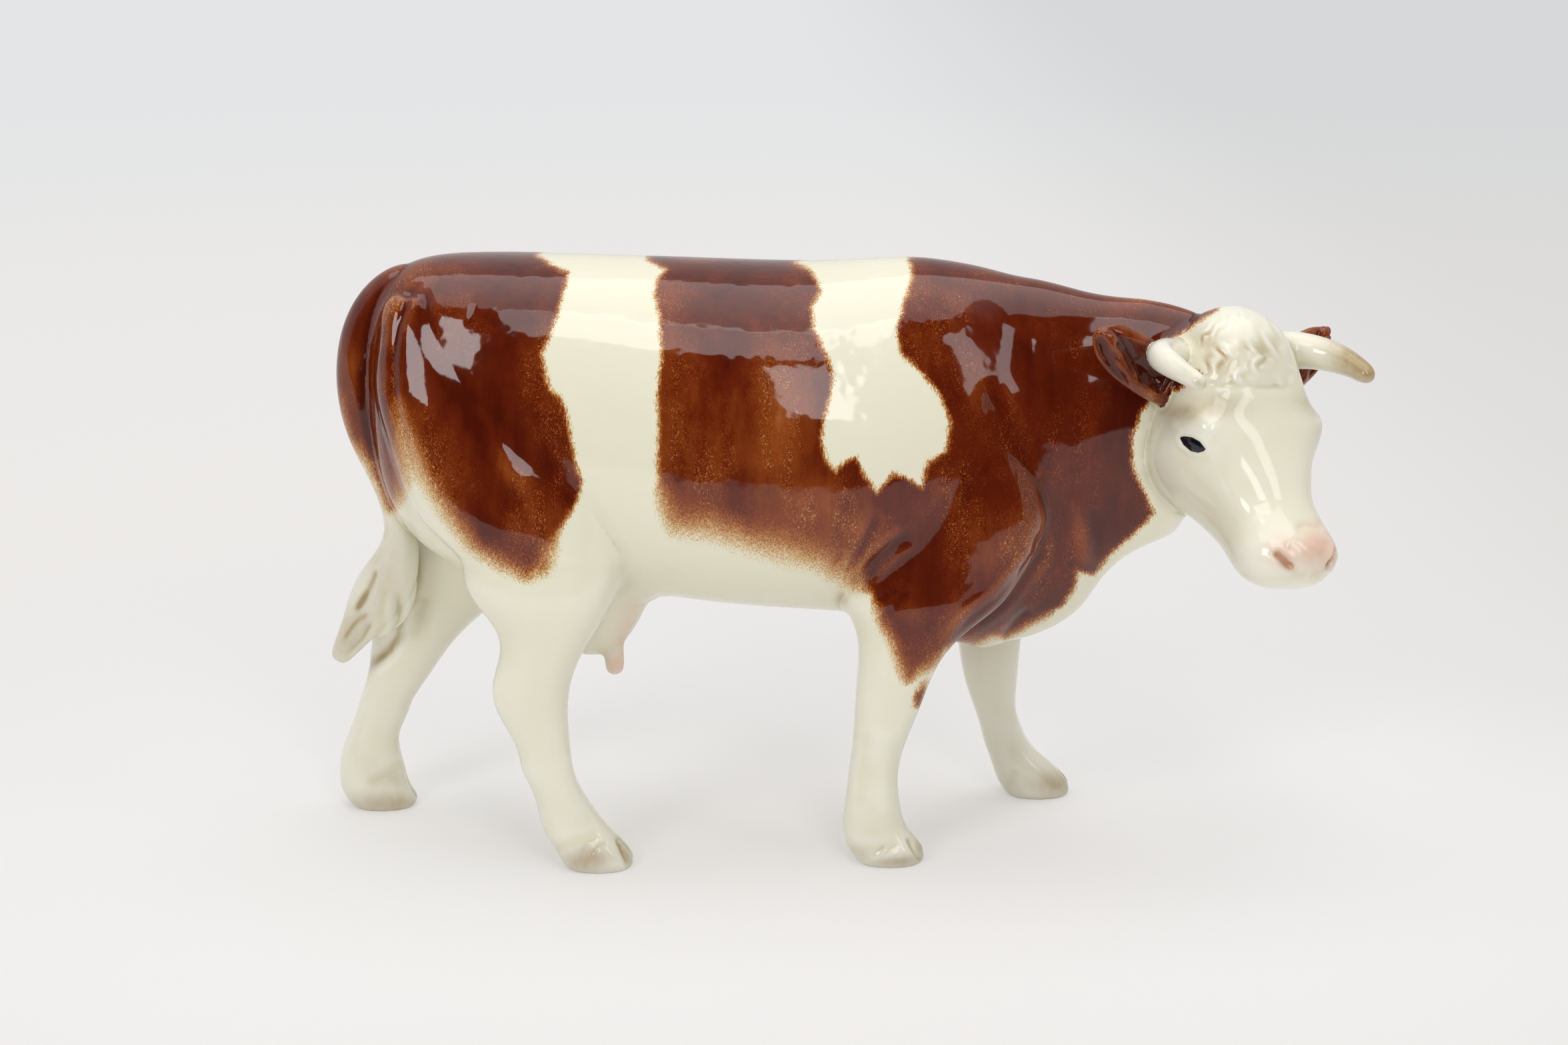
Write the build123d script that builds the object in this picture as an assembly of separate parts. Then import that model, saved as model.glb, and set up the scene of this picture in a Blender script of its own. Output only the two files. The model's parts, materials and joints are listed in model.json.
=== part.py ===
from build123d import *
from build123d.topology import SkipClean
from math import cos, pi, radians, sin
import os

# A walking cow in glazed porcelain, luted together from separately cast pieces
# +X runs from tail to head, +Y to the cow's left and +Z up, and the head turns to the right
# The finished figure is moved so that the origin lies under the middle of its box, at sole level
# Lengths are millimetres and angles degrees

# The body
trunk_length = 130.0  # rump to point of shoulder
trunk_depth = 75.0  # belly line to back
barrel_width = 65.0
leg_height = 54.0  # soles to belly line
stance_width = 42.0  # between the middles of a left and a right hoof
casting_wall = 3.2  # of the two hollow castings
vent_diameter = 3.6  # through the belly, for the kiln gases

# The neck
neck_length = 50.0  # point of shoulder to poll, along the body
neck_width = 37.0  # where it leaves the shoulders

# The head, with its own frame at the poll
head_length = 63.0
head_width = 34.6  # over the brows
head_depth = 36.6  # forehead to jaw
head_yaw = 59.6  # turned right from straight ahead
head_pitch = 59.7  # face line below level
head_roll = 5.9  # muzzle swung sideways about the forehead's normal

# What stands out from the head, measured from inside its root
horn_length = 30.0
horn_diameter = 8.6
ear_length = 26.2
ear_width = 11.8
ear_thickness = 4.8
ear_rim = 1.2  # width of the rim round the cup

# The legs
cannon_width = 9.6  # a leg's least width, seen from the front
hoof_length = 15.0
hoof_width = 13.0
hoof_height = 7.6
cleft_width = 1.5  # open at the toe and closing to nothing
cleft_length = 5.5

# The tail and the udder
tail_length = 88.0  # tail head to the tip of the switch
dock_thickness = 12.4
switch_width = 12.6
udder_length = 31.0
udder_width = 34.0
udder_drop = 10.8  # belly line to the floor of the udder
teat_diameter = 5.2
teat_length = 3.8

section_points = 12
overrun = 2.0  # by which a cutter passes the face that it cuts
across_body = Vector(0, 1, 0)
along_body = Vector(1, 0, 0)
upward = Vector(0, 0, 1)


def signed_power(value, power):
    size = abs(value) ** power
    return size if value >= 0 else -size


def section(centre, across, up, half_width, rise, drop, rise_square=2.0, drop_square=2.0):
    """A closed smooth outline, rising and dropping by its own amounts from its widest line.

    A square of 2 makes that half an ellipse, more makes it boxier and less makes it more pointed.
    """
    points = []
    for index in range(section_points):
        angle = 2 * pi * index / section_points
        upper = sin(angle) >= 0
        square = rise_square if upper else drop_square
        reach = rise if upper else drop
        side = half_width * signed_power(cos(angle), 2 / square)
        height = reach * signed_power(sin(angle), 2 / square)
        points.append(centre + across * side + up * height)
    return Wire([Edge.make_spline(points, periodic=True)])


def body_point(along, out, height):
    """A point from the rump end: along the body, out to the left, and above the belly line."""
    return Vector(along, out, leg_height + height)


# Trunk stations: along, top, bottom, widest height, half width, squareness above and below
trunk_shares = [
    (0.0, 0.773, 0.56, 0.667, 0.069, 2.0, 2.0),
    (0.015, 0.885, 0.413, 0.653, 0.169, 2.0, 2.0),
    (0.046, 0.975, 0.267, 0.627, 0.262, 2.1, 2.0),
    (0.1, 1.02, 0.16, 0.6, 0.338, 2.2, 2.0),
    (0.177, 1.032, 0.087, 0.573, 0.4, 2.3, 2.0),
    (0.292, 1.029, 0.06, 0.56, 0.431, 2.3, 2.1),
    (0.415, 1.021, 0.047, 0.533, 0.454, 2.2, 2.2),
    (0.554, 1.011, 0.016, 0.507, 0.485, 2.1, 2.3),
    (0.692, 1.001, -0.008, 0.48, 0.5, 2.1, 2.3),
    (0.8, 1.003, -0.032, 0.453, 0.485, 2.0, 2.1),
    (0.9, 1.009, -0.08, 0.44, 0.446, 2.0, 1.9),
    (0.985, 0.999, -0.14, 0.427, 0.4, 1.9, 1.8),
    (1.046, 0.98, -0.157, 0.427, 0.346, 1.8, 1.7),
]

# Neck stations: top along and height, bottom along and height, out, turn in degrees, half width
neck_shares = [
    (0.26, 0.96, 0.28, -0.128, -0.01, 0, 0.5),
    (0.4, 0.94, 0.49, -0.051, -0.024, 5, 0.432),
    (0.56, 0.913, 0.6, 0.056, -0.055, 12, 0.37),
    (0.72, 0.895, 0.75, 0.149, -0.09, 20, 0.325),
    (0.87, 0.88, 0.9, 0.213, -0.15, 30, 0.29),
    (0.98, 0.84, 1.0, 0.303, -0.23, 38, 0.26),
]
neck_widest_share = 0.6
neck_crest_square = 1.8
neck_dewlap_square = 1.7
seam_along_share = 0.83  # of the neck's length, where the head's casting begins
seam_out_share = -0.1
seam_turn = 27.0


def trunk_section(station, inset):
    along, top, bottom, widest, half_width, rise_square, drop_square = station
    centre = body_point(along * trunk_length, 0, widest * trunk_depth)
    rise = (top - widest) * trunk_depth - inset
    drop = (widest - bottom) * trunk_depth - inset
    side = half_width * barrel_width - inset
    return section(centre, across_body, upward, side, rise, drop, rise_square, drop_square)


def neck_section(station, inset):
    top_along, top, bottom_along, bottom, out, turn, half_width = station
    crest = body_point(trunk_length + top_along * neck_length, out * neck_length, top * trunk_depth)
    dewlap = body_point(
        trunk_length + bottom_along * neck_length, out * neck_length, bottom * trunk_depth
    )
    height = (crest - dewlap).length
    up = (crest - dewlap).normalized()
    across = Vector(sin(radians(turn)), cos(radians(turn)), 0)
    centre = dewlap + up * (height * neck_widest_share)
    rise = height * (1 - neck_widest_share) - inset
    drop = height * neck_widest_share - inset
    side = half_width * neck_width - inset
    return section(centre, across, up, side, rise, drop, neck_crest_square, neck_dewlap_square)


def trunk_and_neck(inset=0, trunk_stations=slice(None)):
    sections = [trunk_section(station, inset) for station in trunk_shares[trunk_stations]]
    sections += [neck_section(station, inset) for station in neck_shares]
    return Solid.make_loft(sections)


def neck_seam():
    """The plane of the joint between the torso and the head, facing the head."""
    along = trunk_length + seam_along_share * neck_length
    middle = body_point(along, seam_out_share * neck_length, 0)
    ahead = Vector(cos(radians(seam_turn)), -sin(radians(seam_turn)), 0)
    return Plane(origin=middle, x_dir=upward, z_dir=ahead)


# Head stations from crest to muzzle: down the face, forehead, jaw, widest line, half width, squares
head_shares = [
    (-0.127, 0.041, -0.15, -0.055, 0.116, 2.0, 2.0),
    (-0.095, 0.142, -0.273, -0.109, 0.231, 2.2, 2.0),
    (-0.032, 0.227, -0.423, -0.137, 0.332, 2.3, 2.0),
    (0.063, 0.268, -0.6, -0.178, 0.4, 2.4, 2.1),
    (0.159, 0.246, -0.69, -0.178, 0.44, 2.5, 2.3),
    (0.238, 0.202, -0.75, -0.15, 0.475, 2.7, 2.5),
    (0.31, 0.186, -0.775, -0.1, 0.5, 2.9, 2.5),
    (0.397, 0.169, -0.765, -0.13, 0.445, 2.6, 2.3),
    (0.492, 0.161, -0.656, -0.123, 0.358, 2.4, 2.0),
    (0.587, 0.164, -0.503, -0.096, 0.306, 2.3, 2.0),
    (0.667, 0.197, -0.383, -0.055, 0.309, 2.3, 2.0),
    (0.73, 0.24, -0.29, -0.027, 0.329, 2.3, 2.1),
    (0.786, 0.246, -0.219, 0.0, 0.318, 2.3, 2.2),
    (0.829, 0.208, -0.148, 0.022, 0.272, 2.2, 2.2),
    (0.857, 0.148, -0.071, 0.033, 0.197, 2.1, 2.1),
    (0.87, 0.098, -0.011, 0.041, 0.104, 2.0, 2.0),
]
poll_along_share = 1.111
poll_out_share = -0.264
poll_height_share = 0.784


def head_axes():
    """Down the face, out of the forehead and to the cow's left, as unit vectors."""
    yaw, pitch, roll = radians(head_yaw), radians(head_pitch), radians(head_roll)
    ahead = Vector(cos(yaw), -sin(yaw), 0)
    left = Vector(sin(yaw), cos(yaw), 0)
    face_line = ahead * cos(pitch) - upward * sin(pitch)
    outward = ahead * sin(pitch) + upward * cos(pitch)
    return (
        face_line * cos(roll) - left * sin(roll),
        outward,
        left * cos(roll) + face_line * sin(roll),
    )


def head_point(left_share, down_share, out_share):
    """A point in the head's frame, in shares of its half width, length and depth."""
    down, outward, left = head_axes()
    along = trunk_length + poll_along_share * neck_length
    poll = body_point(along, poll_out_share * neck_length, poll_height_share * trunk_depth)
    side = left * (left_share * head_width / 2)
    return poll + side + down * (down_share * head_length) + outward * (out_share * head_depth)


def skull(inset=0, stations=slice(None)):
    down, outward, left = head_axes()
    sections = []
    for station in head_shares[stations]:
        face, forehead, jaw, widest, half_width, rise_square, drop_square = station
        rise = (forehead - widest) * head_depth - inset
        drop = (widest - jaw) * head_depth - inset
        side = half_width * head_width - inset
        centre = head_point(0, face, widest)
        sections.append(
            section(centre, left, outward, side, rise, drop, rise_square, drop_square)
        )
    return Solid.make_loft(sections)


side_signs = {"right": -1, "left": 1}


def sided_point(word, place):
    """A point of the head's right or left side, given outward, down and forward in shares."""
    out, down, forward = place
    return head_point(side_signs[word] * out, down, forward)


def sided_direction(word, way):
    out, down, forward = way
    face_line, outward, left = head_axes()
    return left * (side_signs[word] * out) + face_line * down + outward * forward


# A horn bends outward and then forward: its root in the head's frame, then its bend and its tip
# from there, outward, down and forward in shares of its length, and its thickness. They are
# rolled by hand, so no two are quite alike
horn_shares = {
    "right": ((0.6, 0.024, -0.13), (0.59, -0.05, 0.2), (0.417, 0.43, 0.65), 0.85),
    "left": ((0.49, 0.016, -0.11), (0.49, -0.02, 0.205), (0.445, 0.42, 0.625), 1.0),
}
horn_taper_shares = [
    (0.0, 1.0),
    (0.15, 1.0),
    (0.35, 0.93),
    (0.55, 0.82),
    (0.75, 0.68),
    (0.9, 0.55),
    (0.97, 0.42),
    (1.0, 0.2),
]  # along the horn, thickness


def horn(word):
    """The round tapering horn of one side."""
    root_place, bend_way, tip_way, size = horn_shares[word]
    root = sided_point(word, root_place)
    bend = root + sided_direction(word, bend_way) * horn_length
    tip = root + sided_direction(word, tip_way) * horn_length
    sections = []
    for along, thickness in horn_taper_shares:
        centre = root * (1 - along) ** 2 + bend * (2 * along * (1 - along)) + tip * along**2
        heading = ((bend - root) * (1 - along) + (tip - bend) * along).normalized()
        across = heading.cross(upward).normalized()
        radius = thickness * size * horn_diameter / 2
        sections.append(section(centre, across, across.cross(heading), radius, radius, radius))
    return Solid.make_loft(sections)


# Each ear's root in the head's frame, and its heading and facing: outward, down and forward
ear_shares = {
    "right": ((0.62, 0.128, -0.21), (0.843, -0.46, 0.16), (0.0, 0.5, 0.85)),
    "left": ((0.56, 0.15, -0.27), (0.82, -0.49, 0.17), (0.0, 0.5, 0.85)),
}
# An ear is a leaf with a cup in its face: along, width and thickness
ear_leaf_shares = [
    (0.0, 0.7, 0.95),
    (0.2, 0.92, 1.0),
    (0.45, 1.0, 0.95),
    (0.65, 0.96, 0.85),
    (0.82, 0.8, 0.7),
    (0.93, 0.52, 0.5),
    (1.0, 0.14, 0.2),
]
cup_stations = slice(1, 5)
cup_rise_share = 0.62  # of the ear's thickness, from its middle to the middle of the cup


def ear_leaf(word, stations, inset, rise_share):
    root_place, heading_way, facing_way = ear_shares[word]
    root = sided_point(word, root_place)
    heading = sided_direction(word, heading_way).normalized()
    facing = sided_direction(word, facing_way)
    facing = (facing - heading * facing.dot(heading)).normalized()
    across = heading.cross(facing)
    sections = []
    for along, width, thickness in stations:
        half_width = width * ear_width / 2 - inset
        depth = thickness * ear_thickness / 2
        centre = root + heading * (along * ear_length) + facing * (rise_share * ear_thickness)
        sections.append(section(centre, across, facing, half_width, depth, depth))
    return Solid.make_loft(sections)


def ear(word):
    leaf = ear_leaf(word, ear_leaf_shares, 0, 0)
    cup = ear_leaf(word, ear_leaf_shares[cup_stations], ear_rim, cup_rise_share)
    return leaf - cup


# Hoof stations: height, heel, toe and half width
hoof_shares = [
    (0.0, -0.455, 0.455, 0.43),
    (0.2, -0.54, 0.495, 0.49),
    (0.53, -0.635, 0.407, 0.5),
]

# Shank stations from coronet to belly line: height, rear, front, out, half width
hind_right_shank_shares = [
    (0.144, -0.019, 0.246, 1.0, 0.61),
    (0.226, -0.046, 0.185, 1.0, 0.53),
    (0.319, -0.069, 0.128, 1.0, 0.5),
    (0.476, -0.122, 0.087, 1.0, 0.5),
    (0.617, -0.183, 0.078, 1.0, 0.55),
    (0.735, -0.22, 0.085, 1.0, 0.63),
    (0.874, -0.193, 0.13, 1.0, 0.73),
    (1.013, -0.211, 0.213, 0.976, 0.94),
    (1.198, -0.322, 0.296, 0.929, 1.15),
]
hind_left_shank_shares = [
    (0.161, -0.48, -0.207, 1.0, 0.61),
    (0.235, -0.469, -0.222, 1.0, 0.54),
    (0.365, -0.419, -0.204, 1.0, 0.5),
    (0.494, -0.376, -0.144, 1.0, 0.54),
    (0.606, -0.343, -0.067, 1.0, 0.6),
    (0.717, -0.328, 0.013, 1.0, 0.67),
    (0.846, -0.309, 0.144, 1.0, 0.77),
    (1.013, -0.278, 0.324, 0.976, 0.98),
    (1.198, -0.244, 0.5, 0.929, 1.15),
]
front_right_shank_shares = [
    (0.139, -0.248, 0.011, 0.976, 0.61),
    (0.222, -0.243, -0.015, 0.976, 0.53),
    (0.319, -0.231, -0.026, 0.976, 0.5),
    (0.426, -0.219, -0.017, 0.976, 0.5),
    (0.55, -0.206, 0.022, 0.976, 0.58),
    (0.667, -0.2, 0.067, 0.967, 0.63),
    (0.772, -0.193, 0.107, 0.952, 0.7),
    (0.902, -0.189, 0.189, 0.905, 0.85),
    (1.031, -0.231, 0.343, 0.848, 1.07),
    (1.18, -0.269, 0.472, 0.776, 1.23),
]
front_left_shank_shares = [
    (0.137, 0.059, 0.307, 0.976, 0.62),
    (0.207, 0.033, 0.235, 0.976, 0.55),
    (0.291, 0.009, 0.187, 0.976, 0.51),
    (0.402, -0.026, 0.156, 0.976, 0.51),
    (0.531, -0.067, 0.161, 0.976, 0.59),
    (0.661, -0.091, 0.17, 0.967, 0.65),
    (0.772, -0.115, 0.181, 0.952, 0.71),
    (0.902, -0.194, 0.194, 0.905, 0.87),
    (1.031, -0.333, 0.213, 0.848, 1.07),
    (1.18, -0.444, 0.222, 0.776, 1.23),
]

# Muscle stations above the belly line: height, rear and front along the trunk, out, half width
thigh_shares = [
    (0.303, 0.1, 0.415, 0.277, 0.192),
    (0.463, 0.054, 0.385, 0.254, 0.2),
    (0.623, 0.027, 0.331, 0.223, 0.192),
    (0.756, 0.023, 0.262, 0.192, 0.162),
    (0.863, 0.031, 0.2, 0.169, 0.115),
    (0.943, 0.054, 0.146, 0.154, 0.062),
]
shoulder_shares = [
    (0.263, 0.79, 1.118, 0.231, 0.192),
    (0.423, 0.81, 1.107, 0.215, 0.188),
    (0.583, 0.84, 1.071, 0.192, 0.169),
    (0.729, 0.887, 1.033, 0.162, 0.123),
    (0.836, 0.926, 1.003, 0.138, 0.062),
]
leg_square = 2.3

# Each leg: side, place on the trunk, middle of the sole ahead of it, seat height, its tables
leg_shares = {
    "leg_hind_right": (-1, 0.292, 0.194, 1.0, hind_right_shank_shares, thigh_shares),
    "leg_hind_left": (1, 0.115, -0.296, 1.0, hind_left_shank_shares, thigh_shares),
    "leg_front_right": (-1, 0.885, -0.056, 0.89, front_right_shank_shares, shoulder_shares),
    "leg_front_left": (1, 1.046, 0.256, 0.89, front_left_shank_shares, shoulder_shares),
}


def leg_section(rear, front, out, height, half_width):
    centre = Vector((rear + front) / 2, out, height)
    half_length = (front - rear) / 2
    return section(
        centre, along_body, across_body, half_length, half_width, half_width, leg_square, leg_square
    )


def whole_leg(name):
    """A leg from its sole to the muscles that lie over the trunk."""
    side, place, sole, _, shank_shares, muscle_shares = leg_shares[name]
    hip = place * trunk_length
    middle = hip + sole * leg_height
    outward = side * stance_width / 2
    sections = []
    for height, heel, toe, half_width in hoof_shares:
        rear = middle + heel * hoof_length
        front = middle + toe * hoof_length
        width = half_width * hoof_width
        sections.append(leg_section(rear, front, outward, height * hoof_height, width))
    for height, rear_share, front_share, out, half_width in shank_shares:
        rear = hip + rear_share * leg_height
        front = hip + front_share * leg_height
        width = half_width * cannon_width
        sections.append(leg_section(rear, front, out * outward, height * leg_height, width))
    for height, rear_share, front_share, out, half_width in muscle_shares:
        level = leg_height + height * trunk_depth
        width = half_width * barrel_width
        rear = rear_share * trunk_length
        front = front_share * trunk_length
        sections.append(leg_section(rear, front, side * out * barrel_width, level, width))
    return Solid.make_loft(sections)


def hoof_cleft(name):
    """The wedge that parts the two claws at the toe."""
    side, place, sole, _, _, _ = leg_shares[name]
    _, _, toe, _ = hoof_shares[1]
    tip = place * trunk_length + sole * leg_height + toe * hoof_length
    out = side * stance_width / 2
    opening = tip + overrun
    spread = cleft_width / 2 * (cleft_length + overrun) / cleft_length
    corners = [
        (opening, out - spread),
        (opening, out + spread),
        (tip - cleft_length, out),
    ]
    wedge = make_face(Polyline(*corners, close=True))
    return extrude(Pos(0, 0, -overrun) * wedge, amount=hoof_height + 2 * overrun)


def seat_height(name):
    _, _, _, seat, _, _ = leg_shares[name]
    return seat * leg_height


# Tail stations: along, down from the tail head, out, half thickness and half width
tail_head_height_share = 0.953
dock_shares = [
    (0.148, 0.0, 0.0, 0.3, 0.37),
    (0.066, 0.032, 0.0, 0.42, 0.48),
    (0.012, 0.125, 0.0, 0.49, 0.52),
    (-0.008, 0.233, 0.0, 0.48, 0.51),
    (0.003, 0.347, 0.0, 0.45, 0.48),
    (0.031, 0.449, 0.024, 0.37, 0.44),
    (0.052, 0.54, 0.07, 0.274, 0.355),
    (0.064, 0.619, 0.14, 0.274, 0.34),
]
switch_shares = [
    (0.057, 0.699, 0.24, 0.365, 0.4),
    (0.02, 0.79, 0.38, 0.49, 0.4),
    (-0.03, 0.875, 0.52, 0.41, 0.32),
    (-0.077, 0.949, 0.57, 0.26, 0.22),
    (-0.11, 1.0, 0.6, 0.13, 0.12),
]
lock_shares = [
    (0.045, 0.676, 0.2, 0.2, 0.2),
    (0.053, 0.778, 0.4, 0.32, 0.28),
    (0.036, 0.858, 0.5, 0.3, 0.27),
    (-0.006, 0.915, 0.58, 0.19, 0.18),
    (-0.026, 0.934, 0.6, 0.09, 0.09),
]


def tail_strand(stations):
    """A strand through stations that each give their place and their two thicknesses."""
    middles = []
    for along, down, out, _, _ in stations:
        height = tail_head_height_share * trunk_depth - down * tail_length
        middles.append(body_point(along * tail_length, out * stance_width / 2, height))
    sections = []
    last = len(stations) - 1
    for index, station in enumerate(stations):
        _, _, _, half_thickness, half_width = station
        before = middles[max(index - 1, 0)]
        after = middles[min(index + 1, last)]
        heading = (after - before).normalized()
        across = heading.cross(across_body).normalized()
        sections.append(
            section(middles[index], across, across.cross(heading), half_thickness, half_width, half_width)
        )
    return Solid.make_loft(sections)


def tail_stations(rows, size):
    return [(along, down, out, thick * size, wide * size) for along, down, out, thick, wide in rows]


def whole_tail():
    dock = tail_stations(dock_shares, dock_thickness)
    switch = tail_stations(switch_shares, switch_width)
    lock = tail_stations(lock_shares, switch_width)
    return tail_strand(dock + switch) + tail_strand(lock)


# Udder stations: height above its floor, place along it, half length, half width
udder_place_share = 0.362  # along the trunk
udder_shares = [
    (2.1, 0.0, 0.48, 0.5),
    (1.37, 0.016, 0.435, 0.47),
    (0.81, 0.032, 0.355, 0.4),
    (0.4, 0.032, 0.274, 0.324),
    (0.12, 0.023, 0.194, 0.25),
    (0.0, 0.016, 0.113, 0.162),
]
udder_square = 2.2
teat_place_shares = [(0.17, 0.24), (-0.17, 0.22)]  # along and out, front pair and rear pair
teat_root_share = 0.8  # of its length, inside the udder
teat_tip_share = 0.78  # of its thickness at the root


def udder_point(along, out, height):
    return body_point(udder_place_share * trunk_length + along, out, height - udder_drop)


def teat(along, out):
    """A blunt cone with a round end, its root inside the udder."""
    tip_radius = teat_tip_share * teat_diameter / 2
    drop = teat_length - tip_radius
    height = drop + teat_root_share * teat_length
    on_tip = (Align.CENTER, Align.CENTER, Align.MIN)
    cone = Cone(tip_radius, teat_diameter / 2, height, align=on_tip)
    return Pos(udder_point(along, out, -drop)) * (cone + Sphere(tip_radius))


def whole_udder():
    sections = []
    for height, along, half_length, half_width in udder_shares:
        centre = udder_point(along * udder_length, 0, height * udder_drop)
        length = half_length * udder_length
        width = half_width * udder_width
        sections.append(
            section(centre, along_body, across_body, length, width, width, udder_square, udder_square)
        )
    teats = []
    for along, out in teat_place_shares:
        for side in side_signs.values():
            teats.append(teat(along * udder_length, side * out * udder_width))
    return Solid.make_loft(sections) + teats


# The hollow castings
hollow_trunk_stations = slice(2, None)
hollow_head_stations = slice(2, 12)
vent_place_share = 0.6  # along the trunk


def vent():
    """A round hole up through the belly."""
    depth = leg_height + trunk_depth / 2
    bore = Cylinder(vent_diameter / 2, depth, align=(Align.CENTER, Align.CENTER, Align.MIN))
    return Pos(vent_place_share * trunk_length, 0, 0) * bore


def main_solid(shape):
    """The largest solid of a cut, without the crumbs that a cut along a curved face can leave."""
    return max(shape.solids(), key=lambda solid: solid.volume)


def under_seat(name, leg):
    """What of a leg lies under its seat on the torso."""
    seat = Plane(origin=(0, 0, seat_height(name)), z_dir=upward)
    return split(leg, bisect_by=seat, keep=Keep.BOTTOM)


def build():
    seam = neck_seam()
    outside = trunk_and_neck()
    inside = trunk_and_neck(casting_wall, hollow_trunk_stations)
    neck_end = split(outside, bisect_by=seam, keep=Keep.TOP)
    solid_head = neck_end + split(skull(), bisect_by=seam, keep=Keep.TOP)
    hollow_head = skull(casting_wall, hollow_head_stations)

    whole_legs = {name: whole_leg(name) for name in leg_shares}
    lower_legs = {}
    for name, leg in whole_legs.items():
        lower_legs[name] = main_solid(under_seat(name, leg) - outside)
    figure = outside + list(whole_legs.values())
    torso = split(figure - list(lower_legs.values()), bisect_by=seam, keep=Keep.BOTTOM)
    pieces = {
        "torso": torso - [inside, hollow_head, vent()],
        "head": solid_head - [hollow_head, inside],
    }
    for name, leg in lower_legs.items():
        pieces[name] = leg - hoof_cleft(name)
    for word in side_signs:
        pieces["horn_" + word] = horn(word) - solid_head
        pieces["ear_" + word] = ear(word) - [solid_head, outside, horn(word)]
    hind_legs = [whole_legs["leg_hind_right"], whole_legs["leg_hind_left"]]
    pieces["udder"] = whole_udder() - [outside, *hind_legs]
    pieces["tail"] = whole_tail() - [outside, *hind_legs]
    return {name: main_solid(shape) for name, shape in pieces.items()}


def ground_point(pieces):
    """The point under the middle of the whole figure's box, at sole level."""
    boxes = [piece.bounding_box() for piece in pieces]
    rear = min(box.min.X for box in boxes)
    front = max(box.max.X for box in boxes)
    right = min(box.min.Y for box in boxes)
    left = max(box.max.Y for box in boxes)
    return Vector((rear + front) / 2, (right + left) / 2, min(box.min.Z for box in boxes))


with SkipClean():  # no faces need merging: each loft's side is one face already
    finished = build()
origin = ground_point(finished.values())
os.makedirs("parts", exist_ok=True)
for name, piece in finished.items():
    export_step(Pos(-origin.X, -origin.Y, -origin.Z) * piece, f"parts/{name}.step")
print("origin, from the rump end", [round(value, 3) for value in origin])
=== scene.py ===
import json
import math

import bmesh
import bpy
import numpy as np
from mathutils import Matrix, Vector
from mathutils.bvhtree import BVHTree


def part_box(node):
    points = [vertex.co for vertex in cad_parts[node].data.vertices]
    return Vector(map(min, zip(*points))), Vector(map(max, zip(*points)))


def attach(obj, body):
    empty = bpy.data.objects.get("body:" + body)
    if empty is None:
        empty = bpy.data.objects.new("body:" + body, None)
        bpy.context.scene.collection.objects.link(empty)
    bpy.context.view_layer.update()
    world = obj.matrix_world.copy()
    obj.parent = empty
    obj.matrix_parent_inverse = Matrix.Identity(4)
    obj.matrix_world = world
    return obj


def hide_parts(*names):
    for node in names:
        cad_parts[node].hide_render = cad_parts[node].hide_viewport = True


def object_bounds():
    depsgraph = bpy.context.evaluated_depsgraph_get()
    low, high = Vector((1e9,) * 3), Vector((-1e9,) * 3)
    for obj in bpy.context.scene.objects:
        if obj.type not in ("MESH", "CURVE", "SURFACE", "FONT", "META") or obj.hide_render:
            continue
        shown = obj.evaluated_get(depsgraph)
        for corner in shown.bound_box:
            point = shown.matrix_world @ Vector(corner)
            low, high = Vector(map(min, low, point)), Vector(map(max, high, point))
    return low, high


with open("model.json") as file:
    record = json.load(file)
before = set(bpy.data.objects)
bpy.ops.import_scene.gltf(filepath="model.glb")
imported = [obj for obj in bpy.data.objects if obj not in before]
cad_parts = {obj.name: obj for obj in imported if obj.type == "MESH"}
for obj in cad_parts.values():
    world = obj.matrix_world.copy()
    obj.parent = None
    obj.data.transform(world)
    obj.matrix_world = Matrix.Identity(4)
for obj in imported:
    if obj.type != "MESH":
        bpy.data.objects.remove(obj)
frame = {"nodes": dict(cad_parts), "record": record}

mm = 0.001
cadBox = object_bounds()
body = "root"
torsoLow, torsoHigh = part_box("torso")
rumpEnd = torsoLow.x
midLine = (torsoLow.y + torsoHigh.y) / 2

# The photograph's view. Places on the photograph are pixels of its 2352 x 1568 frame
photoView = {
    "pixels": (2352, 1568),
    "sensorWidth": 36.0,
    "lens": 73.2,
    "distance": 700 * mm,
    "elevation": 14.8,
    "azimuth": -3.0,
    "aim": (90 * mm, 0.0, 71.1 * mm),  # from the rump end, the middle line and the soles
    "pixelsPerMm": 6.83,
}

# The head's own frame: its poll from the rump end, and how it is turned, lowered and swung
headPlan = {
    "poll": (185.55 * mm, -13.2 * mm, 112.8 * mm),
    "yaw": 59.6,
    "pitch": 59.7,
    "roll": 5.9,
}


def fromRump(along, out, height):
    return Vector((rumpEnd + along, midLine + out, height))


def newObject(name, data):
    thing = bpy.data.objects.new(name, data)
    bpy.context.scene.collection.objects.link(thing)
    return thing


def wayTo(azimuth, elevation):
    # The way to what lies so many degrees to the right of the cow's side and above the table
    turn, up = math.radians(azimuth), math.radians(elevation)
    return Vector((math.sin(turn) * math.cos(up), -math.cos(turn) * math.cos(up), math.sin(up)))


def cameraAxes():
    back = wayTo(photoView["azimuth"], photoView["elevation"])
    right = Vector((0, 0, 1)).cross(back).normalized()
    return right, back.cross(right), back


def makeCamera():
    right, upward, back = cameraAxes()
    camera = newObject("camera", bpy.data.cameras.new("camera"))
    camera.location = fromRump(*photoView["aim"]) + back * photoView["distance"]
    camera.rotation_euler = back.to_track_quat("Z", "Y").to_euler()
    camera.data.sensor_width = photoView["sensorWidth"]
    camera.data.lens = photoView["lens"]
    camera.data.sensor_fit = "HORIZONTAL"
    camera.data.clip_start = 10 * mm
    bpy.context.scene.camera = camera
    bpy.context.scene.view_settings.view_transform = "Standard"


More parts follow.
